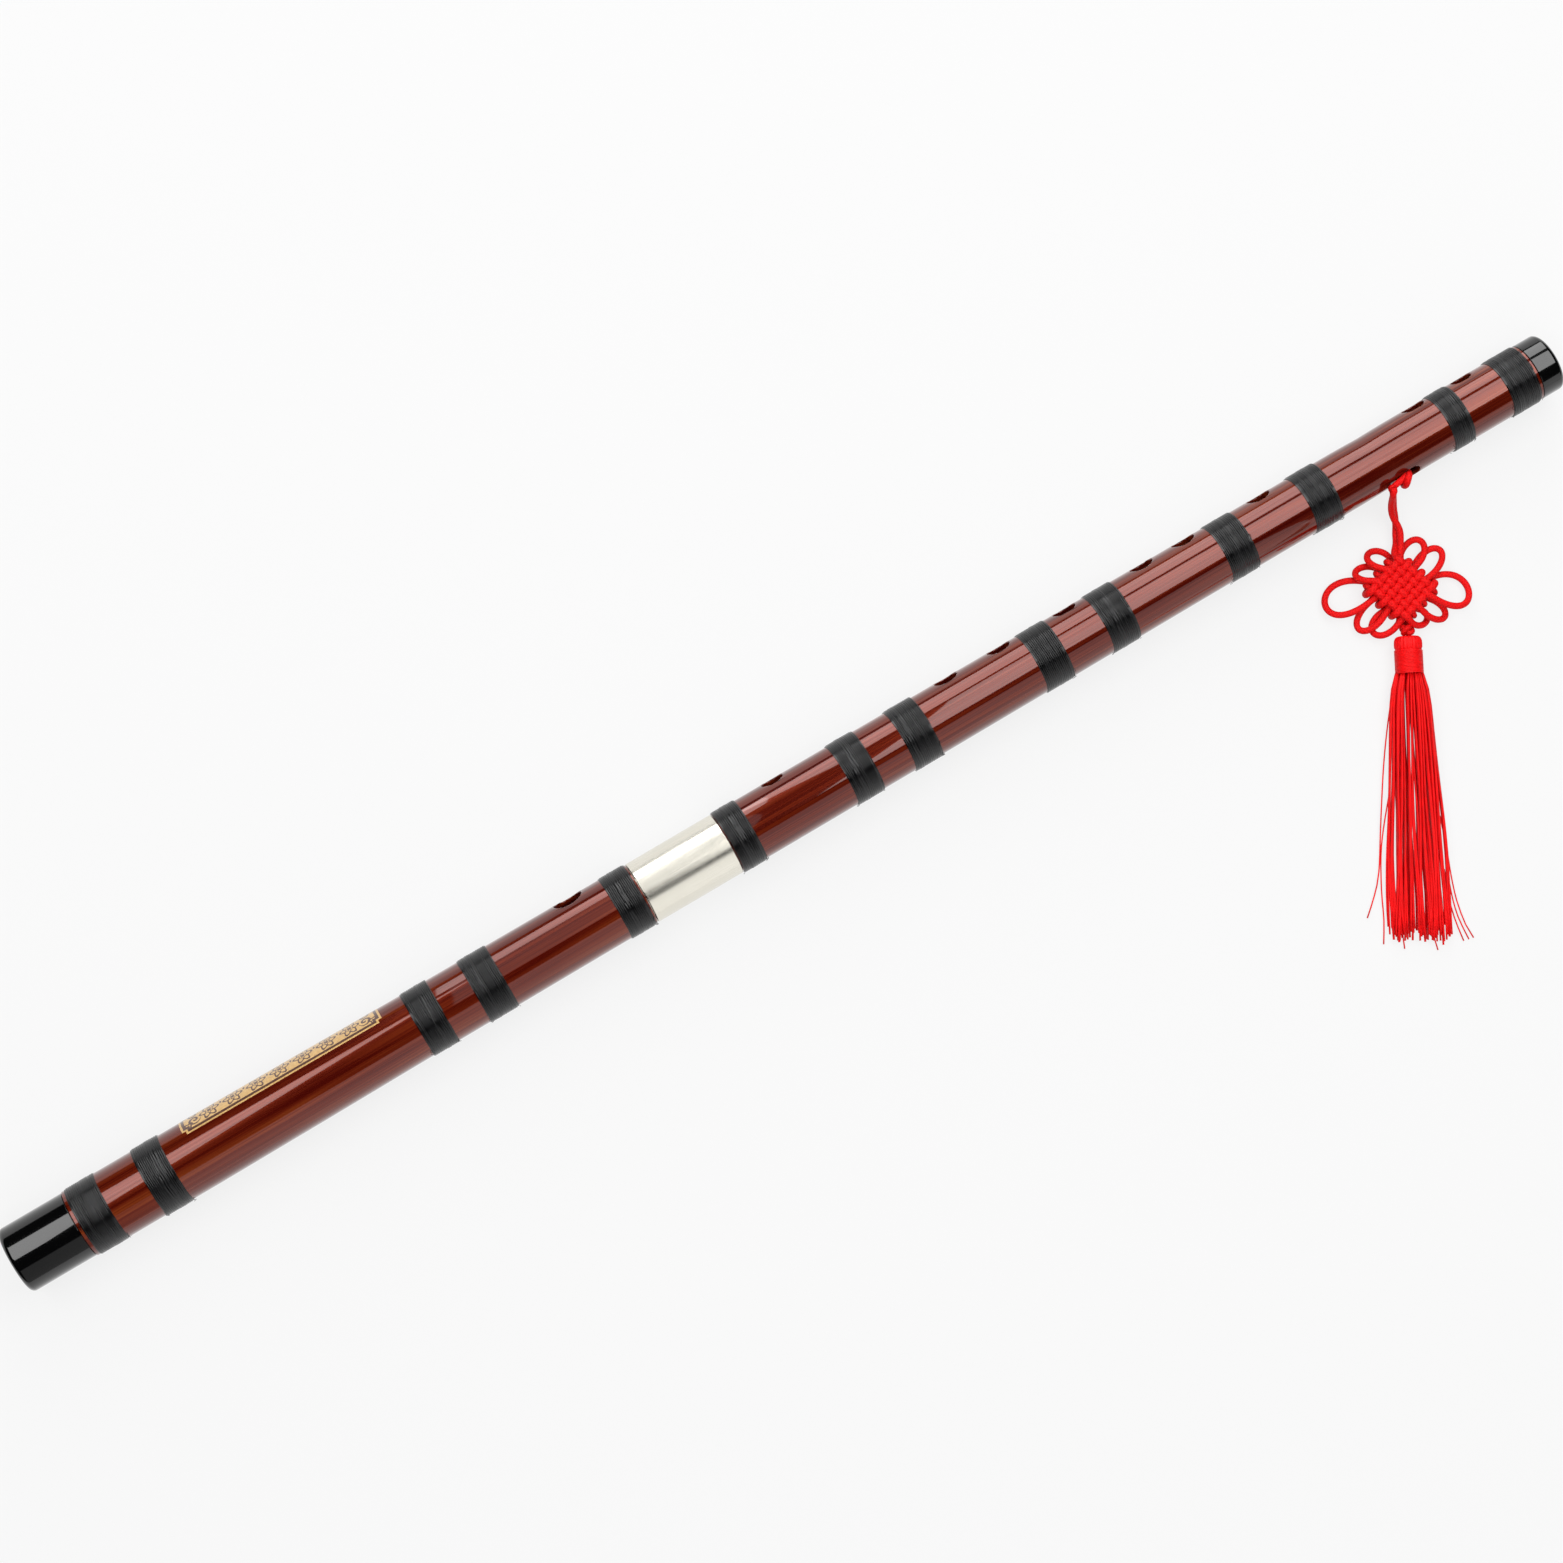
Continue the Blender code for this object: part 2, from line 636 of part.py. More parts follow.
def make_tassel_head():
    """The tassel's folded top: a dome over a neck that the thread band is wound on."""
    dome = [math.radians(a) for a in (90, 65, 40, 15)]
    height = BAND_START - GAP - TASSEL_TOP
    outline = [
        (-TASSEL_TOP - height * (1 - math.sin(a)), DOME_RADIUS * math.cos(a)) for a in dome
    ]
    outline[0] = (-TASSEL_TOP, 0)
    outline += [
        (-BAND_START + GAP, DOME_RADIUS), (-BAND_START + GAP, NECK_RADIUS - GAP),
        (-BAND_END, NECK_RADIUS - GAP), (-BAND_END, 0),
    ]
    piece = turned("tassel_head", outline, RED_SILK, facets=TASSEL_FACETS)
    lay_along_tassel(piece)
    fix_shape(piece)
    return piece


def make_tassel_band():
    """The wound thread band round the tassel's neck."""
    outline = (
        (-BAND_START, BAND_RADIUS - BAND_SHOULDER), (-BAND_START - BAND_EDGE, BAND_RADIUS),
        (-BAND_END + BAND_EDGE, BAND_RADIUS), (-BAND_END, BAND_RADIUS - BAND_SHOULDER),
        (-BAND_END, NECK_RADIUS), (-BAND_START, NECK_RADIUS),
    )
    piece = turned("tassel_band", outline, RED_SILK, facets=TASSEL_FACETS)
    lay_along_tassel(piece)
    fix_shape(piece)
    return piece


def make_skirt():
    """The skirt of loose threads: a loft from the round neck to a wide flat end, in soft folds."""
    across = TASSEL_DIRECTION.cross(KNOT_UP)
    shape = bmesh.new()
    rings = []
    for distance, width, thickness in SKIRT_SECTIONS:
        share = (distance * MM - SKIRT_START) / (SKIRT_SECTIONS[-1][0] * MM - SKIRT_START)
        middle = TASSEL_DIRECTION * distance * MM
        middle.z = thickness / 2 * MM * (1 + FOLD_DEPTH * share) + SKIRT_CLEARANCE - BUTTON_CENTRE.z
        ring = []
        for i in range(SKIRT_POINTS):
            angle = 2 * math.pi * i / SKIRT_POINTS
            fold = 1 + FOLD_DEPTH * share * math.cos(SKIRT_FOLDS * angle)
            side = across * width / 2 * math.cos(angle) * fold
            up = KNOT_UP * thickness / 2 * math.sin(angle) * fold
            ring.append(shape.verts.new(middle + (side + up) * MM))
        rings.append(ring)
    for ring, following in zip(rings, rings[1:]):
        for i in range(SKIRT_POINTS):
            j = (i + 1) % SKIRT_POINTS
            shape.faces.new((ring[i], following[i], following[j], ring[j]))
    shape.faces.new(rings[0])
    shape.faces.new(rings[-1][::-1])
    bmesh.ops.recalc_face_normals(shape, faces=shape.faces)
    mesh = bpy.data.meshes.new("tassel_skirt")
    shape.to_mesh(mesh)
    shape.free()
    mesh.materials.append(RED_SILK)
    smooth(mesh)
    piece = bpy.data.objects.new("tassel_skirt", mesh)
    piece.location = BUTTON_CENTRE
    PARTS.objects.link(piece)
    return piece


head_joint = joint_empty("head_joint", (HEAD_TUBE_END, 0, AXIS_HEIGHT))
tassel_joint = joint_empty("tassel_joint", BALL_CENTRE)
skirt_joint = joint_empty("skirt_joint", BUTTON_CENTRE)
carry(skirt_joint, tassel_joint)

bindings = [make_binding(number, *sizes) for number, sizes in enumerate(BINDINGS, 1)]
head_pieces = [make_head_tube(), make_head_cap(), make_cork(), *bindings[:HEAD_BINDINGS]]
make_foot_tube()
make_foot_cap()
make_plain_ring("joint_sleeve", SLEEVE_START, SLEEVE_END, SLEEVE_RADIUS, SOCKET_RADIUS, NICKEL)
tenon = make_plain_ring(
    "joint_tenon", TENON_START, TENON_END, TENON_RADIUS, TENON_BORE_RADIUS, NICKEL
)
make_hitch()
for moving in (*head_pieces, tenon):
    carry(moving, head_joint)
for hanging in (make_cord(), make_button()):
    carry(hanging, tassel_joint)
for tassel_piece in (make_tassel_head(), make_tassel_band(), make_skirt()):
    carry(tassel_piece, skirt_joint)
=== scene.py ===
"""Looks for a two-section bamboo flute with a knotted red tassel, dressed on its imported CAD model.

Metres, +Z up. The flute lies along X with its head end at -X, its finger holes face +Y, and the
knot and the tassel lie on the surface at -Y.
"""

import math
import random

import bmesh
import bpy
import numpy as np
from mathutils import Matrix, Vector
from mathutils.geometry import interpolate_bezier


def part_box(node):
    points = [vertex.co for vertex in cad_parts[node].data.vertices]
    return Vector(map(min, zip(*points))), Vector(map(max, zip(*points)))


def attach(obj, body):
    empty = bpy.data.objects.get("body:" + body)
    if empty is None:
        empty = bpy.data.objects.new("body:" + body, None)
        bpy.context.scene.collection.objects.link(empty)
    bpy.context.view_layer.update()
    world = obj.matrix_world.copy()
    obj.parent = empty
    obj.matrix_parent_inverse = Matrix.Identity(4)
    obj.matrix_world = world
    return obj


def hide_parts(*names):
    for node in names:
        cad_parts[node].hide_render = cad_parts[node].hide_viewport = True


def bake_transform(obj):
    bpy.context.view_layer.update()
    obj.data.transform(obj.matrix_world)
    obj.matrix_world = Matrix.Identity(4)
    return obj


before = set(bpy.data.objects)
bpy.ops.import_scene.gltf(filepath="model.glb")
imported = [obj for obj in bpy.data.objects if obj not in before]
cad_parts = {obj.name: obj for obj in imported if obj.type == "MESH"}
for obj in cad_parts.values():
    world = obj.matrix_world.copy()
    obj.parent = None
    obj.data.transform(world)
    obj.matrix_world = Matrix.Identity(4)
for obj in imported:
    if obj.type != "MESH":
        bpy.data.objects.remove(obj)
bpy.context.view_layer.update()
MM = 0.001


# Camera: it stands 1.3 m above the head section, tilted a little towards the foot end, and is
# turned so that the flute runs from the lower left corner of the picture to its right side.
cap_low, cap_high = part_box("head_cap")
AXIS_HEIGHT = (cap_low.z + cap_high.z) / 2
CAMERA_PLACE = (-0.1484, 0.0093, AXIS_HEIGHT + 1.325)
CAMERA_TILT = math.radians(6.26)
CAMERA_ROLL = math.radians(30.4)

camera_data = bpy.data.cameras.new("camera")
camera_data.sensor_width = 36
camera_data.lens = 84.41
camera_data.clip_start = 0.05
camera = bpy.data.objects.new("camera", camera_data)
along_view = Vector((math.cos(CAMERA_TILT), 0, math.sin(CAMERA_TILT)))
across_view = Vector((0, 1, 0))
to_right = along_view * math.cos(CAMERA_ROLL) - across_view * math.sin(CAMERA_ROLL)
to_top = along_view * math.sin(CAMERA_ROLL) + across_view * math.cos(CAMERA_ROLL)
camera.matrix_world = Matrix.Translation(CAMERA_PLACE) @ Matrix(
    (to_right, to_top, to_right.cross(to_top))
).transposed().to_4x4()
bpy.context.scene.collection.objects.link(camera)
bpy.context.scene.camera = camera


# Tassel cord: one red braided nylon cord, 2.5 mm thick. It hangs doubled from the tassel hole, is
# woven by hand into a square knot of twelve rows in two layers, with ten ears round its edge, and
# ends in the button knot.
CORD_RADIUS = 1.25 * MM
CORD_STEP = 0.75 * MM
CORD_SIDES = 12
ROUTE_GAP = 0.15 * MM
FLOOR_GAP = 0.05 * MM
WOVEN_SPREAD = 1.2
WOVEN_EDGE = 0.56
WOVEN_FADE = 0.08
KNOT_CENTRE = Vector((234.8, -45.5, 4.8)) * MM
KNOT_TURN = math.radians(-24.8)
KNOT_SLANT = math.radians(-28.5)
KNOT_RIGHT = Vector((math.cos(KNOT_SLANT), math.sin(KNOT_SLANT), 0))
KNOT_DOWN = Vector((math.sin(KNOT_TURN), -math.cos(KNOT_TURN), 0))
KNOT_UP = Vector((0, 0, 1))
KNOT_WIDTH = 26.6 * MM
KNOT_HEIGHT = 25.0 * MM
ROWS = 6
LAYER_HEIGHT = 2.25 * MM
WEAVE_HEIGHT = 1.2 * MM
FLAT_SHARE = 0.3
BEND_REACH = 1.75 * MM
LOOP = 2
EAR_SPLAY = 7.0 * MM
LOOP_SPLAY = 16.5 * MM
EAR_PLACES = 8
LOOP_PLACES = 14
EAR_TILT = 1.85 * MM
TIP_DROP = -2.4 * MM
LEFT_TIPS = ((-10.1, -13.6), (-15.3, -7.4), (-28.6, 4.6), (-16.5, 14.7), (-11.0, 16.4))
RIGHT_TIPS = ((10.5, -18.0), (17.2, -14.6), (26.7, 1.5), (16.3, 10.9), (9.0, 12.6))
HANGING_ROUTE = (
    (246.6, -12.3, 19.9, -0.5), (246.8, -13.2, 18.2, -0.8), (247.0, -14.6, 14.6, -0.9),
    (246.9, -16.7, 10.5, -0.95), (246.7, -19.1, 7.2, -0.9), (246.5, -21.7, 5.2, -0.65),
    (246.0, -24.4, 4.5, 0.0), (244.9, -27.1, 4.6, 0.6), (243.1, -30.3, 4.7, 0.6),
)
TOP_DIRECTION = Vector((0.5, 0.3, 0.8)).normalized()
KNOT_ENTRY = (1.1, -13.2, 1.2)
TAIL_ROUTE = ((0.3, 1.2, 11.6, -2.3), (0.6, 1.15, 12.4, -2.1), (0.8, 0.95, 12.95, -1.5))


def knot_point(right, down, up):
    """A place given from the knot's centre."""
    return KNOT_CENTRE + KNOT_RIGHT * right + KNOT_DOWN * down + KNOT_UP * up


def woven_point(family, row, along, up):
    """A place on a row: family 0 slants down to the right, family 1 down to the left."""
    here, there = (along, row) if family == 0 else (row, along)
    right = (here - there) * KNOT_WIDTH / 2 / ROWS
    down = (here + there - (ROWS - 1)) * KNOT_HEIGHT / 2 / ROWS
    return knot_point(right, down, up)


def woven_strand(family, row, front, forward):
    """One strand across the knot: over and under the strands that it crosses, by turns."""
    line = []
    for crossing in range(ROWS):
        over = (row + crossing + family) % 2 == 0
        up = LAYER_HEIGHT + (WEAVE_HEIGHT if over else -WEAVE_HEIGHT)
        for side in (-FLAT_SHARE, FLAT_SHARE):
            line.append(woven_point(family, row, crossing + side, up if front else -up))
    return line if forward else line[::-1]


def woven_row(family, row, forward):
    """A doubled row: out on the front, round a tight bend and back on the back."""
    out = woven_strand(family, row, True, forward)
    back = woven_strand(family, row, False, not forward)
    outward = (out[-1] - out[-2]).normalized()
    middle, half = (out[-1] + back[0]) / 2, (out[-1] - back[0]) / 2
    bend = [
        middle + half * math.cos(math.radians(a)) + outward * BEND_REACH * math.sin(math.radians(a))
        for a in (45, 90, 135)
    ]
    return out + bend + back


def ear(start, end, tip, wide):
    """A loop that leaves the knot's back, reaches its tip and returns to the front."""
    peak = knot_point(tip[0] * MM, tip[1] * MM, TIP_DROP)
    handle = (peak * 8 - start - end) / 6
    across = end - start
    across.z = 0
    side = across.normalized() * (LOOP_SPLAY if wide else EAR_SPLAY) + KNOT_UP * EAR_TILT
    count = LOOP_PLACES if wide else EAR_PLACES
    return interpolate_bezier(start, handle - side, handle + side, end, count + 1)[1:-1]


def half_knot(family, tips):
    """One half of the cord through the knot, from its top corner to its bottom one."""
    rows = [woven_row(family, row, True) for row in (0, 2, 4)]
    rows += [woven_row(1 - family, row, False) for row in (1, 3, 5)]
    line = list(rows[0])
    for i, (row, tip) in enumerate(zip(rows[1:], tips)):
        line += ear(line[-1], row[0], tip, wide=(i == LOOP)) + row
    return line


def hanging_strand(side):
    """One strand of the doubled cord, from the hitch down to the knot. The two strands wind half
    round each other: the fourth number of each place is how far this one lies to the side."""
    route = [Vector(stop[:3]) * MM for stop in HANGING_ROUTE]
    line = []
    for i, (place, stop) in enumerate(zip(route, HANGING_ROUTE)):
        ahead = route[min(i + 1, len(route) - 1)] - route[max(i - 1, 0)]
        sideways = KNOT_UP.cross(ahead).normalized()
        outwards = ahead.cross(sideways).normalized()
        apart = stop[3] * MM
        aside = sideways * apart + outwards * math.sqrt(CORD_RADIUS ** 2 - apart ** 2)
        line.append(place + aside * side)
    right, down, up = KNOT_ENTRY
    line.append(knot_point(side * right * MM, down * MM, up * MM))
    return line


def rounded(points, step):
    """A smooth line through points, with places about a step apart."""
    line = []
    ends = [points[0] * 2 - points[1], *points, points[-1] * 2 - points[-2]]
    for a, b, c, d in zip(ends, ends[1:], ends[2:], ends[3:]):
        count = max(1, round((c - b).length / step))
        for i in range(count):
            t = i / count
            line.append(
                (b * 2 + (c - a) * t + (a * 2 - b * 5 + c * 4 - d) * t ** 2
                 + (b * 3 - a - c * 3 + d) * t ** 3) / 2
            )
    return line + [points[-1]]


def line_length(line):
    """How long a line is."""
    return sum((b - a).length for a, b in zip(line, line[1:]))


def tube_mesh(name, lines, radii, sides, spreads=None):
    """Round cords along lines, as one mesh. U runs along each cord in turns of its girth and V
    goes once round it. A spread widens the cord sideways, where it is pressed flat."""
    shape = bmesh.new()
    texture = shape.loops.layers.uv.new("cord")
    for number, (line, radius) in enumerate(zip(lines, radii)):
        spread = spreads[number] if spreads else [1.0] * len(line)
        normal, travelled, rings, marks = None, 0.0, [], []
        for i, place in enumerate(line):
            ahead = (line[min(i + 1, len(line) - 1)] - line[max(i - 1, 0)]).normalized()
            if normal is None:
                normal = ahead.orthogonal().normalized()
            else:
                travelled += (place - line[i - 1]).length
            normal = (normal - ahead * normal.dot(ahead)).normalized()
            other = ahead.cross(normal)
            ring = []
            for k in range(sides):
                angle = math.tau * k / sides
                out = (normal * math.cos(angle) + other * math.sin(angle)) * radius
                out.x *= spread[i]
                out.y *= spread[i]
                ring.append(shape.verts.new(place + out))
            rings.append(ring)
            marks.append(travelled / (math.tau * radius))
        for i, (ring, following) in enumerate(zip(rings, rings[1:])):
            for k in range(sides):
                j = (k + 1) % sides
                face = shape.faces.new((ring[k], ring[j], following[j], following[k]))
                face.smooth = True
                corners = (
                    (marks[i], k), (marks[i], k + 1), (marks[i + 1], k + 1), (marks[i + 1], k)
                )
                for loop, (u, turn) in zip(face.loops, corners):
                    loop[texture].uv = (u, turn / sides)
        shape.faces.new(rings[0][::-1])
        shape.faces.new(rings[-1])
    mesh = bpy.data.meshes.new(name)
    shape.to_mesh(mesh)
    shape.free()
    piece = bpy.data.objects.new(name, mesh)
    bpy.context.scene.collection.objects.link(piece)
    return piece


class Value:
    """A number that changes over a surface. Arithmetic on it adds Math nodes to its material."""

    def __init__(self, tree, socket):
        self.tree = tree
        self.socket = socket

    def math(self, operation, *others, first=None):
        """A Math node on this number and others. With first, that comes before this number."""
        node = self.tree.nodes.new("ShaderNodeMath")
        node.operation = operation
        numbers = (self, *others) if first is None else (first, self)
        for slot, number in zip(node.inputs, numbers):
            feed(self.tree, slot, number)
        return Value(self.tree, node.outputs[0])

    def __add__(self, other):
        return self.math("ADD", other)

    __radd__ = __add__

    def __sub__(self, other):
        return self.math("SUBTRACT", other)

    def __rsub__(self, other):
        return self.math("SUBTRACT", first=other)

    def __mul__(self, other):
        return self.math("MULTIPLY", other)

    __rmul__ = __mul__

    def __truediv__(self, other):
        return self.math("DIVIDE", other)

    def __abs__(self):
        return self.math("ABSOLUTE")

    def __lt__(self, other):
        return self.math("LESS_THAN", other)

    def sine(self):
        return self.math("SINE")

    def cosine(self):
        return self.math("COSINE")

    def least(self, other):
        return self.math("MINIMUM", other)

    def most(self, other):
        return self.math("MAXIMUM", other)


def feed(tree, slot, value):
    """Links a value to a socket, or sets the socket to a plain one."""
    if isinstance(value, Value):
        tree.links.new(value.socket, slot)
    else:
        slot.default_value = value


class Finish:
    """A Principled material, built node by node."""

    def __init__(self, name, **sockets):
        self.material = bpy.data.materials.new(name)
        self.material.use_nodes = True
        self.tree = self.material.node_tree
        self.shader = self.tree.nodes["Principled BSDF"]
        self.set(**sockets)

    def set(self, **sockets):
        """Feeds the shader's sockets: base_color feeds Base Color."""
        for name, value in sockets.items():
            if isinstance(value, tuple) and len(value) == 3 and name.endswith(("color", "tint")):
                value = (*value, 1)
            socket = name.replace("_", " ").title().replace("Ior", "IOR")
            feed(self.tree, self.shader.inputs[socket], value)

    def node(self, kind, inputs, output=0, stops=None, **settings):
        """Any node: its settings and a ramp's stops first, then its sockets by name or number."""
        node = self.tree.nodes.new(f"ShaderNode{kind}")
        for name, value in settings.items():
            setattr(node, name, value)
        if stops:
            ramp = node.color_ramp
            while len(ramp.elements) < len(stops):
                ramp.elements.new(1.0)
            for element, (place, colour) in zip(ramp.elements, stops):
                element.position = place
                element.color = (*colour, 1)
        for name, value in inputs.items():
            feed(self.tree, node.inputs[name], value)
        return Value(self.tree, node.outputs[output])

    def place(self, scale=(1, 1, 1), shift=(0, 0, 0)):
        """Object coordinates, stretched and moved."""
        plain = self.node("TexCoord", {}, output=3)
        return self.node("Mapping", {0: plain, 1: shift, 3: scale})

    def parts(self, vector):
        """The three numbers of a vector."""
        return [self.node("SeparateXYZ", {0: vector}, output=i) for i in range(3)]

    def noise(self, vector, detail, roughness=0.5):
        """Smooth noise from 0 to 1."""
        inputs = {"Vector": vector, "Scale": 1.0, "Detail": detail, "Roughness": roughness}
        return self.node("TexNoise", inputs)

    def blend(self, share, first, second):
        """A colour between two colours."""
        colours = [(*c, 1) if isinstance(c, tuple) else c for c in (first, second)]
        return self.node(
            "Mix", {0: share, 6: colours[0], 7: colours[1]}, output=2, data_type="RGBA"
        )

    def bump(self, height, distance, strength):
        """Fine relief from a height of 0 to 1 and the distance that 1 stands for."""
        inputs = {"Height": height, "Distance": distance, "Strength": strength}
        self.set(normal=self.node("Bump", inputs))

    def give(self, piece):
        """Makes this the only material of a piece."""
        piece.data.materials.clear()
        piece.data.materials.append(self.material)


def braid_of(finish, runs, pitch):
    """The height of a round braid: strands that cross as they wind both ways round the cord."""
    u, v, _ = finish.parts(finish.node("UVMap", {}))
    along, around = u * (math.tau * pitch), v * (math.tau * runs)
    one, other = (along + around).sine(), (along - around).sine()
    return one.most(other) * 0.5 + 0.5


red_cord = Finish("red_cord", roughness=0.6, specular_ior_level=0.12)
braid = braid_of(red_cord, runs=5, pitch=5.4)
fuzz = red_cord.noise(red_cord.place((900, 900, 900)), detail=3)
# The base colour is darker where the braid is low: painted shade in the grooves between the strands,
# with random tone from the fuzz.
red_cord.set(base_color=red_cord.blend(
    braid * 0.45 + fuzz * 0.5, (0.36, 0.0010, 0.0012), (0.72, 0.0046, 0.0048)
))
red_cord.bump(braid + fuzz * 0.4, 0.12 * MM, 0.7)


def woven_spread(place):
    """How much wider the cord is where it is pressed flat in the weave."""
    from_centre = place - KNOT_CENTRE
    across = abs(from_centre.dot(KNOT_RIGHT)) / KNOT_WIDTH
    down = abs(from_centre.dot(KNOT_DOWN)) / KNOT_HEIGHT
    pressed = min(1.0, max(0.0, (WOVEN_EDGE - across - down) / WOVEN_FADE))
    return 1 + (WOVEN_SPREAD - 1) * pressed


left_hanging, right_hanging = hanging_strand(-1), hanging_strand(1)
top_middle, top_half = (
    (left_hanging[0] + right_hanging[0]) / 2, (right_hanging[0] - left_hanging[0]) / 2,
)
top_up = TOP_DIRECTION * top_half.length
top_turn = top_middle + top_up
for name, side, family, tips, hanging in (
    ("tassel_cord_left", -1, 0, LEFT_TIPS, left_hanging),
    ("tassel_cord_right", 1, 1, RIGHT_TIPS, right_hanging),
):
    shoulder = top_middle + (top_half * side + top_up) * math.sqrt(0.5)
    tail = [knot_point((m + side * r) * MM, d * MM, u * MM) for m, r, d, u in TAIL_ROUTE]
    route = [top_turn, shoulder, *hanging, *half_knot(family, tips), *tail]
    for place in route:
        place.z = max(place.z, CORD_RADIUS + ROUTE_GAP)
    line = rounded(route, CORD_STEP)
    for place in line:
        place.z = max(place.z, CORD_RADIUS + FLOOR_GAP)
    half = tube_mesh(name, [line], [CORD_RADIUS], CORD_SIDES, [[woven_spread(p) for p in line]])
    red_cord.give(half)
    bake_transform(half)
    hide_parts("tassel_cord")
    line_length(line)


# Hitch: the same cord leads from the top of the doubled cord into the upper tassel hole, comes out
# of the lower one, runs up round the outside of the flute and is tucked into the upper hole again.
# Its places are (x, distance from the flute's axis, degrees from straight up towards +Y).
HITCH_START = Vector((0.1, 0.2, 0.1)) * MM
HITCH_ROUTE = (
    (247.2, 13.0, -64), (248.0, 12.8, -62), (249.8, 12.6, -60), (251.6, 12.5, -58),
    (253.1, 12.3, -57), (254.4, 11.2, -60), (254.9, 9.6, -66), (255.6, 7.4, -76), (256.5, 5.8, -96),
    (257.0, 6.6, -122), (257.1, 9.0, -134), (256.8, 11.6, -132), (256.0, 12.7, -122),
    (255.0, 12.6, -108), (253.6, 12.6, -92), (252.7, 13.4, -76), (252.5, 14.4, -64),
    (252.9, 14.7, -56), (253.9, 14.1, -52), (254.9, 12.8, -54), (255.8, 11.0, -62),
    (256.3, 9.0, -70), (256.5, 7.2, -76),
)


def around_flute(x, radius, degrees):
    """The place at x and a radius from the flute's axis, in mm, and an angle from straight up."""
    angle = math.radians(degrees)
    up = AXIS_HEIGHT / MM + radius * math.cos(angle)
    return Vector((x, radius * math.sin(angle), up)) * MM


hitch_stops = [around_flute(*stop) for stop in HITCH_ROUTE]
hitch_line = rounded([top_middle + HITCH_START, *hitch_stops], CORD_STEP)
hitch = tube_mesh("tassel_hitch_loop", [hitch_line], [CORD_RADIUS], CORD_SIDES)
red_cord.give(hitch)
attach(hitch, "foot_section")
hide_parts("tassel_hitch")
line_length(hitch_line)


# Button knot: a small ball of the same cord, tied to hold the tassel below the woven knot. The
# cord makes a trefoil, whose distance out from its middle and down swing by turns about a mean.
BUTTON_CENTRE = knot_point(0.8 * MM, 15.1 * MM, 0)
BUTTON_OUT, BUTTON_OUT_SWING = 1.4 * MM, 0.65 * MM
BUTTON_DOWN, BUTTON_DOWN_SWING = 0.45 * MM, 1.2 * MM
BUTTON_PLACES = 96
button_line = []
for i in range(BUTTON_PLACES + 1):
    turn = math.tau * i / BUTTON_PLACES
    out = BUTTON_OUT + BUTTON_OUT_SWING * math.cos(3 * turn)
    down = BUTTON_DOWN + BUTTON_DOWN_SWING * math.sin(3 * turn)
    button_line.append(
        BUTTON_CENTRE + KNOT_RIGHT * out * math.cos(2 * turn)
        + KNOT_UP * out * math.sin(2 * turn) + KNOT_DOWN * down
    )
button = tube_mesh("button_knot_cord", [button_line], [1.0 * MM], 10)
red_cord.give(button)
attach(button, "hanging_cord")
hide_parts("button_knot")


# Tassel head: a hank of silk threads, folded over the cord's end so that it makes a round top.
TASSEL_TURN = math.radians(-118)
TASSEL_DOWN = Vector((math.cos(TASSEL_TURN), math.sin(TASSEL_TURN), 0))
TASSEL_ACROSS = TASSEL_DOWN.cross(KNOT_UP)
NECK_HEIGHT = 5.5 * MM
ON_AXIS = 0.004
HEAD_OUTLINE = (
    (3.6, ON_AXIS), (3.5, 1.3), (3.0, 2.3), (2.8, 3.2), (3.0, 4.0), (3.6, 4.65), (4.6, 5.0),
    (5.8, 5.1), (7.0, 5.05), (7.7, 4.75), (8.2, 4.6), (16.4, 4.2), (16.6, ON_AXIS),
)
HEAD_RIPPLE = 0.035
HEAD_FOLDS = 24
tassel_place = Matrix.Translation(
    (BUTTON_CENTRE.x, BUTTON_CENTRE.y, NECK_HEIGHT)
) @ Matrix.Rotation(TASSEL_TURN, 4, "Z")


def shade(piece, corner):
    """Smooth shading up to an angle in degrees, ruled by the large faces."""
    bpy.ops.object.shade_smooth_by_angle(angle=math.radians(corner))
    weights = piece.modifiers.new("weights", "WEIGHTED_NORMAL")
    weights.keep_sharp = True
    bpy.ops.object.modifier_apply(modifier="weights")


def lathe(name, outline, segments, place, corner=40):
    """Turns a closed outline of (distance, radius) about the X axis, ring by ring: each ring is
    extruded from the one before and resized. A ring of ON_AXIS merges into a point. The piece is
    then put in place."""
    x, radius = outline[0]
    bpy.ops.object.select_all(action="DESELECT")
    bpy.ops.mesh.primitive_circle_add(
        vertices=segments, radius=radius, location=(x, 0, 0), rotation=(0, math.pi / 2, 0)
    )
    piece = bpy.context.object
    piece.name = piece.data.name = name
    bpy.ops.object.transform_apply(location=True, rotation=True, scale=True)
    bpy.ops.object.mode_set(mode="EDIT")
    bpy.ops.mesh.select_all(action="SELECT")
    for next_x, next_radius in [*outline[1:], outline[0]]:
        bpy.ops.mesh.extrude_region_move(TRANSFORM_OT_translate={"value": (next_x - x, 0, 0)})
        share = next_radius / radius
        bpy.ops.transform.resize(value=(1, share, share), center_override=(next_x, 0, 0))
        x, radius = next_x, next_radius
    bpy.ops.mesh.select_all(action="SELECT")
    bpy.ops.mesh.remove_doubles(threshold=ON_AXIS * MM)
    bpy.ops.mesh.normals_make_consistent(inside=False)
    bpy.ops.object.mode_set(mode="OBJECT")
    piece.matrix_world = place
    bpy.ops.object.transform_apply(location=True, rotation=True, scale=True)
    shade(piece, corner)
    return piece


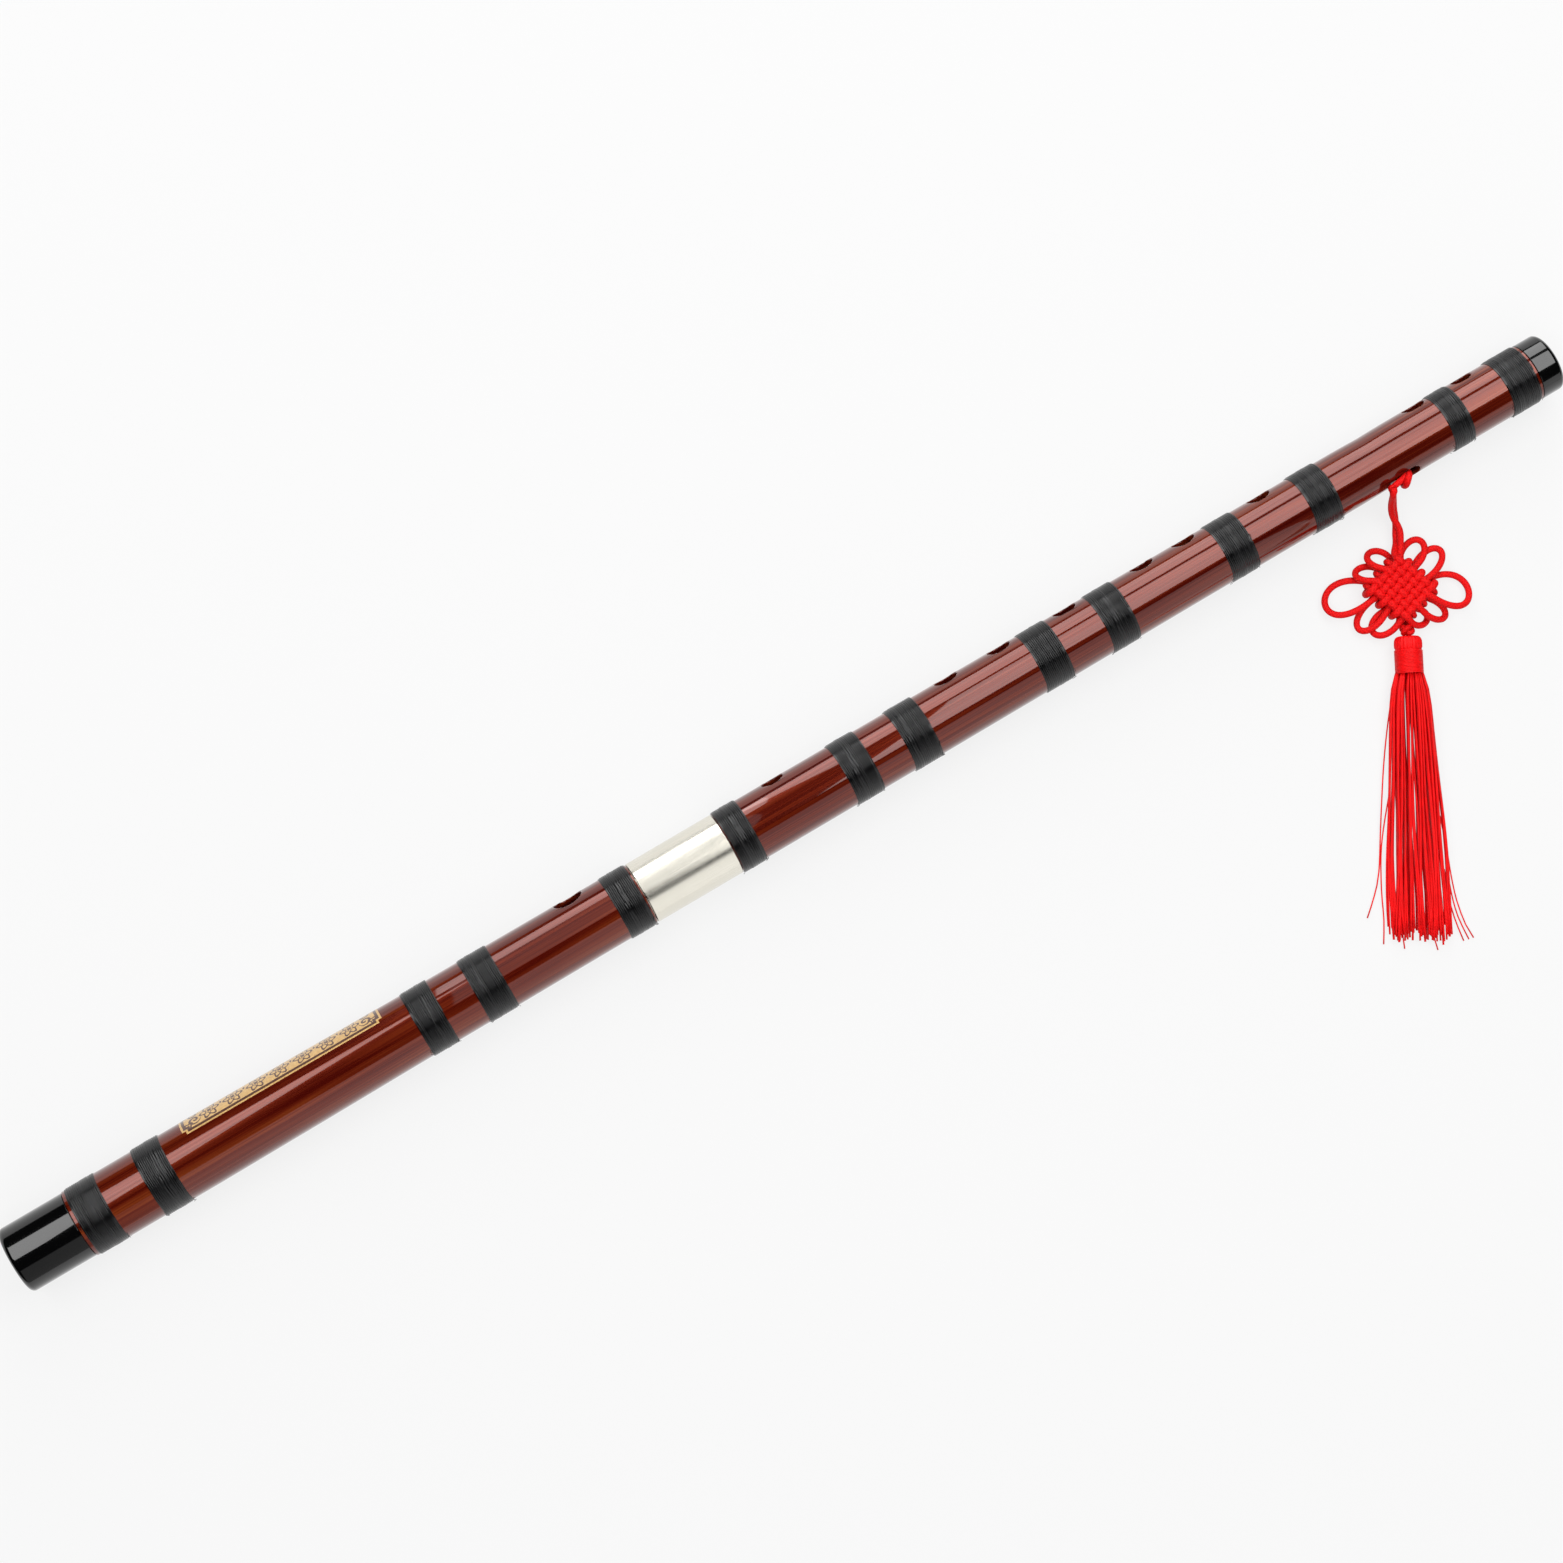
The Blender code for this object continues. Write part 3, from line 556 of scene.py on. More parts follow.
red_silk = Finish("red_silk", roughness=0.45, specular_ior_level=0.15)
lay = red_silk.noise(red_silk.place((1500, 1500, 1500)), detail=2)
tone = red_silk.noise(red_silk.place((120, 120, 120)), detail=1)
red_silk.set(base_color=red_silk.blend(
    lay * 0.6 + tone * 0.4, (0.42, 0.0012, 0.0018), (0.86, 0.003, 0.004)
))
red_silk.bump(lay, 0.08 * MM, 0.6)

tassel_head = lathe(
    "tassel_head_fold", [(x * MM, radius * MM) for x, radius in HEAD_OUTLINE], 96, tassel_place,
    corner=60,
)
for vertex in tassel_head.data.vertices:
    from_axis = vertex.co - tassel_place.translation
    from_axis -= TASSEL_DOWN * from_axis.dot(TASSEL_DOWN)
    around = math.atan2(from_axis.z, from_axis.dot(TASSEL_ACROSS))
    ripple = math.cos(HEAD_FOLDS * around) + 0.5 * math.cos(7 * around)
    vertex.co += from_axis * HEAD_RIPPLE * ripple
red_silk.give(tassel_head)
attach(tassel_head, "tassel")
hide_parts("tassel_head")


# Tassel band: fine silk thread, wound tightly round the tassel's neck to hold the fold.
BAND_START = 7.9 * MM
BAND_END = 16.7 * MM
BAND_EDGE = 0.2 * MM
BAND_RADIUS = 5.35 * MM
BAND_CORE_RADIUS = 5.05 * MM
BAND_BORE = 4.2 * MM
BAND_PITCH = 0.52 * MM
BAND_THREAD_HEIGHT = 0.24 * MM
THREAD_OVERLAP = 0.54


def pick(*pieces):
    """Selects these pieces alone and makes the first one active."""
    bpy.ops.object.select_all(action="DESELECT")
    for piece in pieces:
        piece.select_set(True)
    bpy.context.view_layer.objects.active = pieces[0]


def open_mesh(piece):
    """Opens one piece in edit mode with nothing selected."""
    pick(piece)
    bpy.ops.object.mode_set(mode="EDIT")
    bpy.ops.mesh.select_all(action="DESELECT")


def close_mesh():
    """Leaves edit mode, ready to select points."""
    bpy.ops.mesh.select_mode(type="VERT")
    bpy.ops.object.mode_set(mode="OBJECT")


def wound(name, start, end, radius, pitch, height, steps, place):
    """Thread wound round the X axis from start to end: an oval thread, swept along its helix."""
    bpy.ops.object.select_all(action="DESELECT")
    bpy.ops.mesh.primitive_circle_add(
        vertices=8, radius=1, location=(start, 0, radius - height), rotation=(math.pi / 2, 0, 0)
    )
    piece = bpy.context.object
    piece.name = piece.data.name = name
    piece.scale = (pitch * THREAD_OVERLAP, height, 1)
    bpy.ops.object.transform_apply(location=True, rotation=True, scale=True)
    turns = piece.modifiers.new("turns", "SCREW")
    turns.axis = "X"
    turns.angle = math.tau
    turns.screw_offset = pitch
    turns.iterations = max(1, round((end - start) / pitch))
    turns.steps = turns.render_steps = steps
    turns.use_merge_vertices = False
    turns.use_smooth_shade = True
    bpy.ops.object.modifier_apply(modifier="turns")
    open_mesh(piece)
    bpy.ops.mesh.select_mode(type="EDGE")
    bpy.ops.mesh.select_non_manifold()
    bpy.ops.mesh.edge_face_add()
    bpy.ops.mesh.select_all(action="SELECT")
    bpy.ops.mesh.normals_make_consistent(inside=False)
    close_mesh()
    piece.matrix_world = place
    bpy.ops.object.transform_apply(location=True, rotation=True, scale=True)
    bpy.ops.object.shade_smooth_by_angle(angle=math.radians(60))
    return piece


def joined(*pieces):
    """Joins pieces into the first one."""
    pick(*pieces)
    bpy.ops.object.join()
    return pieces[0]


band_core = lathe(
    "tassel_band_core",
    [(BAND_START, BAND_CORE_RADIUS), (BAND_END, BAND_CORE_RADIUS), (BAND_END, BAND_BORE),
     (BAND_START, BAND_BORE)],
    64, tassel_place,
)
band_thread = wound(
    "tassel_band_winding", BAND_START + BAND_EDGE, BAND_END - BAND_EDGE, BAND_RADIUS, BAND_PITCH,
    BAND_THREAD_HEIGHT, 44, tassel_place,
)
band = joined(band_thread, band_core)
red_silk.give(band)
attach(band, "tassel")
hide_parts("tassel_band")


# Tassel skirt: about 150 twisted silk threads that come out from under the band and lie on the
# surface. They cling together in locks, part in the middle, and a few stray from the rest.
SKIRT_SECTIONS = (
    (16.0, 10.3, 9.6), (19.0, 12.2, 9.6), (22.4, 14.4, 9.2), (28.0, 16.2, 8.8), (36.5, 17.6, 8.2),
    (50.0, 19.2, 7.0), (66.0, 21.0, 5.8), (84.0, 23.2, 4.8), (102.0, 24.6, 4.2), (118.0, 25.0, 3.6),
)
SKIRT_START = 16.5
SKIRT_LENGTH = 97
THREADS = 150
THREAD_STEPS = 16
THREAD_RADIUS = 0.40 * MM
LOCKS = 14
CLING = 0.78
PARTING = 1.15
PARTING_AT = 0.62
PARTING_REACH = 0.24
dice = random.Random(7)


def skirt_at(distance):
    """The skirt's width and thickness at a distance along the tassel, in mm."""
    stations, *sizes = zip(*SKIRT_SECTIONS)
    return [float(np.interp(distance, stations, size)) for size in sizes]


def skirt_place(distance, across, height):
    """A place in the skirt: distance along, across from the middle, height above the surface."""
    return (
        Vector((BUTTON_CENTRE.x, BUTTON_CENTRE.y, 0)) + TASSEL_DOWN * distance * MM
        + TASSEL_ACROSS * across * MM + KNOT_UP * max(height * MM, THREAD_RADIUS * 1.05)
    )


locks = []
for number in range(LOCKS):
    middle = (number + 0.5) / LOCKS * 2 - 1
    shift, turn = dice.uniform(-0.03, 0.03), dice.uniform(0, math.tau)
    locks.append((middle, shift, turn, dice.uniform(0.6, 1.1)))

thread_lines = []
for _ in range(THREADS):
    angle = math.tau * dice.random()
    rim = math.sqrt(dice.uniform(0.25, 1.0))
    side, level = math.cos(angle) * rim, math.sin(angle) * rim
    middle, shift, turn, bend = min(locks, key=lambda lock: abs(lock[0] - side))
    reach = dice.gauss(SKIRT_START + SKIRT_LENGTH, 1.8)
    sway, phase, wave = dice.uniform(0.1, 0.45), dice.uniform(0, math.tau), dice.uniform(0.05, 0.11)
    stray = dice.gauss(0, 0.35)
    line = []
    for i in range(THREAD_STEPS + 1):
        distance = SKIRT_START + (reach - SKIRT_START) * i / THREAD_STEPS
        share = (distance - SKIRT_START) / SKIRT_LENGTH
        width, thick = skirt_at(distance)
        cling = CLING * math.sin(math.pi * min(1, share * 0.9 + 0.05)) ** 0.7
        across = (side + (middle + shift - side) * cling) * width / 2
        across += share * (bend * 0.8 * math.sin(turn + share * 7) + stray * share)
        across += sway * share * math.sin(phase + distance * wave)
        parting = math.exp(-((share - PARTING_AT) / PARTING_REACH) ** 2)
        across += parting * (PARTING if side > 0.04 else -PARTING) * math.exp(-abs(side) * 3)
        ripple = 0.25 * share * math.sin(phase * 2 + distance * 0.13)
        line.append(skirt_place(distance, across, thick / 2 * (1 + level * 0.92) + ripple))
    thread_lines.append(line)

STRAY_RADIUS = 0.28 * MM
STRAY_TOP = 1.95
STRAY_END = 0.35
STRAYS = (
    ((24, -6.2), (38, -8.8), (52, -10.8), (72, -12.8), (90, -14.4), (99, -16.6), (107, -19.6)),
    ((62, -9.4), (74, -12.0), (84, -13.4), (97, -13.8), (108, -13.4), (117, -13.9)),
    ((70, 9.6), (82, 11.6), (92, 12.8), (102, 14.6), (111, 17.6), (116, 20.4)),
    ((84, 10.8), (98, 12.4), (108, 14.8), (116.5, 18.6)),
    ((90, 10.2), (103, 11.9), (112, 14.6), (117, 16.6)),
    ((92, 3.4), (106, 4.2), (115, 5.2), (120, 6.6)),
    ((88, -5.6), (104, -6.8), (114, -6.6), (119, -6.0)),
)
for route in STRAYS:
    heights = np.linspace(STRAY_TOP, STRAY_END, len(route))
    places = [
        skirt_place(distance, -across, float(height))
        for (distance, across), height in zip(route, heights)
    ]
    thread_lines.append(rounded(places, 4 * MM))

thread_radii = [THREAD_RADIUS * dice.uniform(0.85, 1.15) for _ in range(THREADS)]
thread_radii += [STRAY_RADIUS] * len(STRAYS)
skirt = tube_mesh("tassel_skirt_threads", thread_lines, thread_radii, 5)
silk_thread = Finish("red_silk_thread", roughness=0.5, specular_ior_level=0.15)
thread_u, thread_v, _ = silk_thread.parts(silk_thread.node("UVMap", {}))
twist_and_ply_shade = ((thread_u * 2.2 + thread_v * 3) * math.tau).sine() * 0.5 + 0.5
thread_tone = silk_thread.noise(silk_thread.place((260, 260, 260)), detail=2)
# The base colour is darker along the low part of each twist: painted shade in the grooves between
# the plies, with random tone from the noise.
silk_thread.set(base_color=silk_thread.blend(
    thread_tone * 0.7 + twist_and_ply_shade * 0.3, (0.44, 0.0012, 0.0018), (0.84, 0.003, 0.004)
))
silk_thread.bump(twist_and_ply_shade, 0.06 * MM, 0.7)
silk_thread.give(skirt)
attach(skirt, "tassel")
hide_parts("tassel_skirt")


# Bamboo sections: two lengths of cane, scraped smooth and brushed with many coats of clear
# red-brown lacquer. The holes are cut with a hot iron and their edges are rubbed round. The head
# section takes the tenon in its socket, and the ends are turned down under the caps.
LENGTH = 650.6 * MM
CANE_WIDTHS = (
    (-326.9, 26.0), (-247.9, 26.0), (-204.9, 25.5), (-162.9, 24.8), (-94.9, 24.35), (-31.9, 24.06),
    (36.1, 23.9), (101.1, 23.5), (155.1, 23.0), (235.1, 22.6), (241.1, 22.4), (246.1, 22.1),
    (251.1, 22.3), (257.1, 22.5), (329.1, 22.35),
)
TUBE_SEGMENTS = 160
EDGE = 0.3 * MM
BORE_RADIUS = 8.5 * MM
HEAD_END_RADIUS = 11.0 * MM
FOOT_END_RADIUS = 9.6 * MM
SPIGOT_RADIUS = 10.0 * MM
CAP_GAP = 0.25 * MM
HEAD_CAP_RIM = -299.2 * MM
FOOT_CAP_RIM = 316.0 * MM
HEAD_TUBE_START = -322.4 * MM
HEAD_TUBE_END = -67.8 * MM
SOCKET_END = -82.2 * MM
SPIGOT_START = -39.9 * MM
FOOT_TUBE_END = 322.4 * MM
SLEEVE_START = -67.5 * MM
SLEEVE_END = -31.9 * MM
SOCKET_RADIUS = 10.4 * MM
HOLE_MARGIN = 1.6
HOLE_ROUNDING = 0.45 * MM
CUTTER_LENGTH = 16 * MM
CUTTER_HEIGHT = 12 * MM
HOLE_ANGLE = 78
HOLES = (
    ("blow_hole", -92.0, 11.6, 10.0), ("membrane_hole", -6.2, 8.9, 8.2),
    ("finger_hole_1", 67.6, 9.5, 8.6), ("finger_hole_2", 90.2, 9.5, 8.6),
    ("finger_hole_3", 118.5, 9.5, 8.6), ("finger_hole_4", 151.8, 9.5, 8.6),
    ("finger_hole_5", 169.9, 9.5, 8.6), ("finger_hole_6", 202.7, 9.5, 8.6),
    ("tuning_hole_1", 270.7, 9.4, 8.2), ("tuning_hole_2", 291.8, 8.6, 8.0),
)
TASSEL_HOLES = (("tassel_hole_1", 257.0, 8.2, 8.0, -71), ("tassel_hole_2", 257.0, 8.2, 8.0, -135))
on_axis = Matrix.Translation((0, 0, AXIS_HEIGHT))


def cane_radius(x):
    """Outer radius of the bamboo at x."""
    stations, widths = zip(*CANE_WIDTHS)
    return float(np.interp(x / MM, stations, widths)) / 2 * MM


def cane_outline(start, end, holes):
    """The outer line of a section from start to end, with a ring on each side of every hole."""
    stations = {start, end}
    stations |= {x * MM for x, _ in CANE_WIDTHS if start < x * MM < end}
    for _, x, length, *_ in holes:
        stations |= {(x + way * (length / 2 + HOLE_MARGIN)) * MM for way in (-1, 1)}
    return [(x, cane_radius(x)) for x in sorted(stations)]


def cut_hole(piece, x, length, width, degrees):
    """Cuts an oval hole through one wall and rounds its rim. Its place and sizes are in mm, and its
    angle is from straight up towards +Y."""
    bpy.ops.object.select_all(action="DESELECT")
    bpy.ops.mesh.primitive_cylinder_add(vertices=48, radius=0.5, depth=CUTTER_LENGTH)
    cutter = bpy.context.object
    cutter.scale = (length * MM, width * MM, 1)
    bpy.ops.object.transform_apply(location=False, rotation=False, scale=True)
    place = (
        Matrix.Translation((x * MM, 0, AXIS_HEIGHT))
        @ Matrix.Rotation(-math.radians(degrees), 4, "X")
        @ Matrix.Translation((0, 0, CUTTER_HEIGHT))
    )
    cutter.matrix_world = place
    hole = piece.modifiers.new("hole", "BOOLEAN")
    hole.operation = "DIFFERENCE"
    hole.object = cutter
    bpy.context.view_layer.objects.active = piece
    bpy.ops.object.modifier_apply(modifier="hole")
    bpy.data.objects.remove(cutter)
    open_mesh(piece)
    bpy.ops.mesh.select_mode(type="EDGE")
    shape = bmesh.from_edit_mesh(piece.data)
    back, outside = place.inverted(), cane_radius(x * MM) - EDGE
    for edge in shape.edges:
        rim = True
        for vertex in edge.verts:
            local = back @ vertex.co
            oval = math.hypot(local.x / (length * MM / 2), local.y / (width * MM / 2))
            from_axis = math.hypot(vertex.co.y, vertex.co.z - AXIS_HEIGHT)
            near = from_axis > outside and local.z > -CUTTER_LENGTH / 2
            rim = rim and abs(oval - 1) < 0.03 and near
        edge.select_set(rim)
    bmesh.update_edit_mesh(piece.data)
    bpy.ops.mesh.bevel(offset=HOLE_ROUNDING, segments=3, profile=0.5)
    close_mesh()


def finish_tube(piece, holes):
    """Cuts a section's holes and shades it again."""
    for _, x, length, width, degrees in holes:
        cut_hole(piece, x, length, width, degrees)
    pick(piece)
    shade(piece, 40)


lacquer = Finish(
    "red_brown_lacquer", roughness=0.17, specular_ior_level=0.60, specular_tint=(1.0, 0.16, 0.08),
    coat_roughness=0.02,
)
fibres = lacquer.noise(lacquer.place((10, 2300, 2300)), detail=3, roughness=0.6)
streaks = lacquer.noise(lacquer.place((4, 520, 520)), detail=3)
bands = lacquer.noise(lacquer.place((3, 150, 150), shift=(0.4, 0.2, 0.7)), detail=1)
clouds = lacquer.noise(lacquer.place((11, 60, 60)), detail=2)
depth = streaks * 0.5 + fibres * 0.28 + bands * 0.2 + clouds * 0.24
lacquer.set(
    base_color=lacquer.node(
        "ValToRGB", {0: depth},
        stops=(
            (0.42, (0.022, 0.0006, 0.0005)), (0.54, (0.042, 0.0019, 0.0008)),
            (0.64, (0.078, 0.0080, 0.0020)), (0.78, (0.150, 0.0290, 0.0060)),
        ),
    ),
    coat_weight=0.36 + fibres * 0.85,
)
waves = lacquer.noise(lacquer.place((26, 320, 320)), detail=1)
swell = lacquer.noise(lacquer.place((12, 120, 120)), detail=0)
ripples = lacquer.noise(lacquer.place((520, 70, 70)), detail=1)
lacquer.bump(waves * 0.30 + swell * 0.7 + fibres * 0.05 + ripples * 0.05, 0.16 * MM, 0.5)

head_holes = [(*hole, HOLE_ANGLE) for hole in HOLES[:1]]
foot_holes = [(*hole, HOLE_ANGLE) for hole in HOLES[1:]] + list(TASSEL_HOLES)
head_outline = cane_outline(HEAD_CAP_RIM + EDGE, HEAD_TUBE_END - EDGE, head_holes)
head_tube = lathe(
    "head_tube_cane",
    [(HEAD_TUBE_START, HEAD_END_RADIUS), (HEAD_CAP_RIM + CAP_GAP, HEAD_END_RADIUS), *head_outline,
     (HEAD_TUBE_END, cane_radius(HEAD_TUBE_END) - EDGE), (HEAD_TUBE_END, SOCKET_RADIUS),
     (SOCKET_END, SOCKET_RADIUS), (SOCKET_END, BORE_RADIUS), (HEAD_TUBE_START, BORE_RADIUS)],
    TUBE_SEGMENTS, on_axis,
)
finish_tube(head_tube, head_holes)
lacquer.give(head_tube)
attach(head_tube, "head_section")
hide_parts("head_tube")

foot_outline = cane_outline(SLEEVE_END + EDGE, FOOT_CAP_RIM - EDGE, foot_holes)
foot_tube = lathe(
    "foot_tube_cane",
    [(SPIGOT_START, SPIGOT_RADIUS), (SLEEVE_END + EDGE, SPIGOT_RADIUS), *foot_outline,
     (FOOT_CAP_RIM - EDGE, FOOT_END_RADIUS), (FOOT_TUBE_END, FOOT_END_RADIUS),
     (FOOT_TUBE_END, BORE_RADIUS), (SPIGOT_START, BORE_RADIUS)],
    TUBE_SEGMENTS, on_axis,
)
finish_tube(foot_tube, foot_holes)
lacquer.give(foot_tube)
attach(foot_tube, "foot_section")
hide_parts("foot_tube")


# Gold panel: a thin transfer in gold with dark brown lines, laid on the head section under the
# last coat of lacquer. It has a border with stepped corners, a scroll in each corner and a row of
# seven flower rosettes. Its pattern is drawn in mm from the panel's middle.
PANEL_START = -251.5 * MM
PANEL_END = -170.5 * MM
PANEL_ARC = (37.5, 101.0)
PANEL_STEP = 1.5
PANEL_RADIUS = 12.8
PANEL_LIFT = 0.02 * MM
PANEL_STATIONS = (
    PANEL_START, PANEL_START + PANEL_STEP * MM, -249 * MM, -228 * MM, -206 * MM, -190 * MM,
    PANEL_END - PANEL_STEP * MM, PANEL_END,
)
FLOWERS = 7
FLOWER_PITCH = 9.5
FLOWER_SHIFT = 1.2

panel = lathe(
    "gold_panel", [(x, cane_radius(x) + PANEL_LIFT) for x in PANEL_STATIONS], 270, on_axis
)
open_mesh(panel)
bpy.ops.mesh.select_mode(type="FACE")
shape = bmesh.from_edit_mesh(panel.data)
corner_arc = math.degrees(PANEL_STEP / PANEL_RADIUS)
for face in shape.faces:
    middle = face.calc_center_median()
    degrees = math.degrees(math.atan2(middle.y, middle.z - AXIS_HEIGHT))
    inside = PANEL_ARC[0] < degrees < PANEL_ARC[1]
    at_corner = not PANEL_ARC[0] + corner_arc < degrees < PANEL_ARC[1] - corner_arc
    near_end = min(middle.x - PANEL_START, PANEL_END - middle.x) < PANEL_STEP * MM
    ends = [vertex.co.x for vertex in face.verts]
    lining = max(ends) - min(ends) > (PANEL_END - PANEL_START) / 2
    face.select_set(not inside or (at_corner and near_end) or lining)
bmesh.update_edit_mesh(panel.data)
bpy.ops.mesh.delete(type="FACE")
close_mesh()

gold = Finish("gold_transfer", coat_weight=1.0, coat_roughness=0.05)
x, y, z = gold.parts(gold.place())
panel_u = abs((x - (PANEL_START + PANEL_END) / 2) / MM)
panel_angle = y.math("ARCTAN2", z - AXIS_HEIGHT)
panel_v = (panel_angle - math.radians(sum(PANEL_ARC) / 2)) * PANEL_RADIUS
half_length = (PANEL_END - PANEL_START) / MM / 2
half_width = math.radians(PANEL_ARC[1] - PANEL_ARC[0]) / 2 * PANEL_RADIUS
to_end, to_side = half_length - panel_u, half_width - abs(panel_v)
edge = to_end.least(to_side).least((to_end - PANEL_STEP).most(to_side - PANEL_STEP))


def stroke(distance, width):
    """1 on a line of that width round distance 0, and 0 off it."""
    return abs(distance) < width / 2


def circle_from(u, v):
    """Distance from (u, v) and the angle about it."""
    return (u * u + v * v).math("SQRT"), v.math("ARCTAN2", u)


def winding(reach, angle, pitch, width):
    """1 on a spiral line round the centre."""
    return ((reach / pitch - angle / math.tau).math("FRACT") - 0.5).math("ABSOLUTE") < width / 2


scroll_reach, scroll_angle = circle_from(to_end - 5.9, to_side - 5.0)
scroll = winding(scroll_reach, scroll_angle, 1.9, 0.5) * (scroll_reach < 2.5)
leaf_reach, leaf_angle = circle_from(to_end - 3.2, to_side - 3.2)
leaf = stroke(leaf_reach - 1.2 - (leaf_angle * 3).sine() * 0.4, 0.8) * (leaf_reach < 2.0)
cell_u = ((panel_u / FLOWER_PITCH + 0.5).math("FRACT") - 0.5) * FLOWER_PITCH
flower_reach, flower_angle = circle_from(cell_u, panel_v + FLOWER_SHIFT)
petals = stroke(flower_reach - 3.0 - (flower_angle * 6).cosine() * 0.7, 0.85)
inner_petals = stroke(flower_reach - 1.5 - (flower_angle * 6).cosine() * -0.3, 0.5)
heart = flower_reach < 0.8
spark_u = ((panel_u / FLOWER_PITCH).math("FRACT") - 0.5) * FLOWER_PITCH
spark = (abs(spark_u) * 1.2 + abs(panel_v) * 0.5) < 0.6
flowers = petals.most(inner_petals).most(heart) * (panel_u < FLOWERS / 2 * FLOWER_PITCH)
sparks = spark * (panel_u < (FLOWERS - 1) / 2 * FLOWER_PITCH)
border = stroke(edge - 1.35, 1.1)
ink = border.most(scroll).most(leaf).most(flowers).most(sparks)
grain = gold.noise(gold.place((900, 900, 900)), detail=3)
gold.set(
    base_color=gold.blend(
        ink, gold.blend(grain, (0.42, 0.235, 0.070), (0.66, 0.43, 0.165)), (0.060, 0.018, 0.006)
    ),
    metallic=(1 - ink) * 0.3,
    roughness=0.36 + grain * 0.12,
)
gold.give(panel)
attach(panel, "head_section")


# Bindings: black silk thread, wound round the cane in turns 0.7 mm wide, with some turns riding
# up on the ones below, and then lacquered. Ends of thread fray at the edges. Each binding is
# (left edge, right edge, width over the turns), in mm.
BINDINGS = (
    (-297.8, -286.0, 26.6), (-271.0, -260.1, 26.96), (-161.3, -150.7, 25.6),
    (-137.7, -126.0, 25.45), (-78.9, -68.5, 25.05), (-31.5, -21.9, 25.1),
    (16.9, 28.1, 24.95), (41.5, 53.0, 24.9), (98.0, 109.7, 24.25), (126.8, 138.4, 24.05),
    (178.7, 190.4, 23.6), (215.4, 226.9, 23.7), (276.4, 285.3, 23.35), (302.6, 314.7, 23.35),
)
HEAD_BINDINGS = 5
TURN_MARGIN = 0.4
TURN_PITCH = 0.72 * MM
TURN_HEIGHT = 0.26 * MM
TOP_LIFT = 0.06 * MM
TOP_HEIGHT = 0.16 * MM
TURN_STEPS = 56
CORE_DEPTH = 0.2 * MM
CORE_EDGE_DEPTH = 0.28 * MM
CORE_EDGE = 0.1 * MM
CORE_INSIDE_DEPTH = 0.7 * MM
FRAYS = 9
FRAY_PLACES = 4
FRAY_RADIUS = 0.09 * MM
UNEVENNESS = 0.22 * MM
UNEVEN_SPACING = 5 * MM

thread = Finish("black_thread", specular_ior_level=0.42)
nap = thread.noise(thread.place((700, 2600, 2600)), detail=2)
rub = thread.noise(thread.place((160, 160, 160)), detail=2)
turn_tone = (thread.noise(thread.place((800, 14, 14)), detail=3) * 3 - 1).most(0).least(1)
thread.set(
    base_color=thread.blend(rub * nap * turn_tone, (0.0008, 0.0008, 0.0010), (0.014, 0.014, 0.015)),
    roughness=0.13 + rub * 0.12 + turn_tone * 0.14,
)
thread.bump(nap * 0.3 + turn_tone, 0.10 * MM, 0.6)

for number, (left, right, width) in enumerate(BINDINGS, 1):
    radius, start, end = width / 2 * MM, left * MM, right * MM
    turns = wound(
        f"binding_{number:02d}_winding", (left + TURN_MARGIN) * MM, (right - TURN_MARGIN) * MM,
        radius, TURN_PITCH, TURN_HEIGHT, TURN_STEPS, on_axis,
    )
    core = lathe(
        "core",
        [(start, radius - CORE_EDGE_DEPTH), (start + CORE_EDGE, radius - CORE_DEPTH),
         (end - CORE_EDGE, radius - CORE_DEPTH), (end, radius - CORE_EDGE_DEPTH),
         (end, radius - CORE_INSIDE_DEPTH), (start, radius - CORE_INSIDE_DEPTH)],
        96, on_axis,
    )
    top_start = dice.uniform(left + 1.2, right - 4.2)
    top_end = top_start + dice.uniform(1.4, 2.8)
    top = wound(
        "top", top_start * MM, top_end * MM, radius + TOP_LIFT, dice.uniform(0.7, 0.95) * MM,
        TOP_HEIGHT, TURN_STEPS, on_axis,
    )
    frays = []
    for _ in range(FRAYS):
        at_edge = dice.choice((left, right)) + dice.uniform(-0.3, 0.3)
        angle = dice.gauss(-100, 32)
        fray = []
        for i in range(FRAY_PLACES):
            x = at_edge + dice.uniform(-0.25, 0.25) * i
            out = radius / MM + 0.05 + 0.09 * i * dice.random()
            fray.append(around_flute(x, out, angle - 4 * i))
        frays.append(fray)
    loose = tube_mesh("loose", frays, [FRAY_RADIUS] * FRAYS, 4)
    binding = joined(turns, core, top, loose)
    spread = binding.modifiers.new("uneven", "DISPLACE")
    spread.direction = "X"
    spread.strength = UNEVENNESS
    spread.texture_coords = "GLOBAL"
    spread.texture = bpy.data.textures.new(f"uneven_{number}", "CLOUDS")
    spread.texture.noise_scale = UNEVEN_SPACING
    bpy.context.view_layer.objects.active = binding
    bpy.ops.object.modifier_apply(modifier="uneven")
    thread.give(binding)
    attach(binding, "head_section" if number <= HEAD_BINDINGS else "foot_section")
    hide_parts(f"binding_{number:02d}")


# Joint: a nickel-silver sleeve, fixed on the foot section's end, and the tube of the same metal
# that is fixed in the head section and slides in it. Both are brushed lengthways.
nickel = Finish("nickel_silver", metallic=1.0)
brushed = nickel.noise(nickel.place((50, 3600, 3600)), detail=3)
haze = nickel.noise(nickel.place((60, 60, 60)), detail=2)
nickel.set(
    base_color=nickel.blend(haze * 0.5 + brushed * 0.5, (0.72, 0.69, 0.60), (0.88, 0.85, 0.76)),
    roughness=0.19 + brushed * 0.10 + haze * 0.04,
)
nickel.bump(brushed, 0.02 * MM, 0.3)

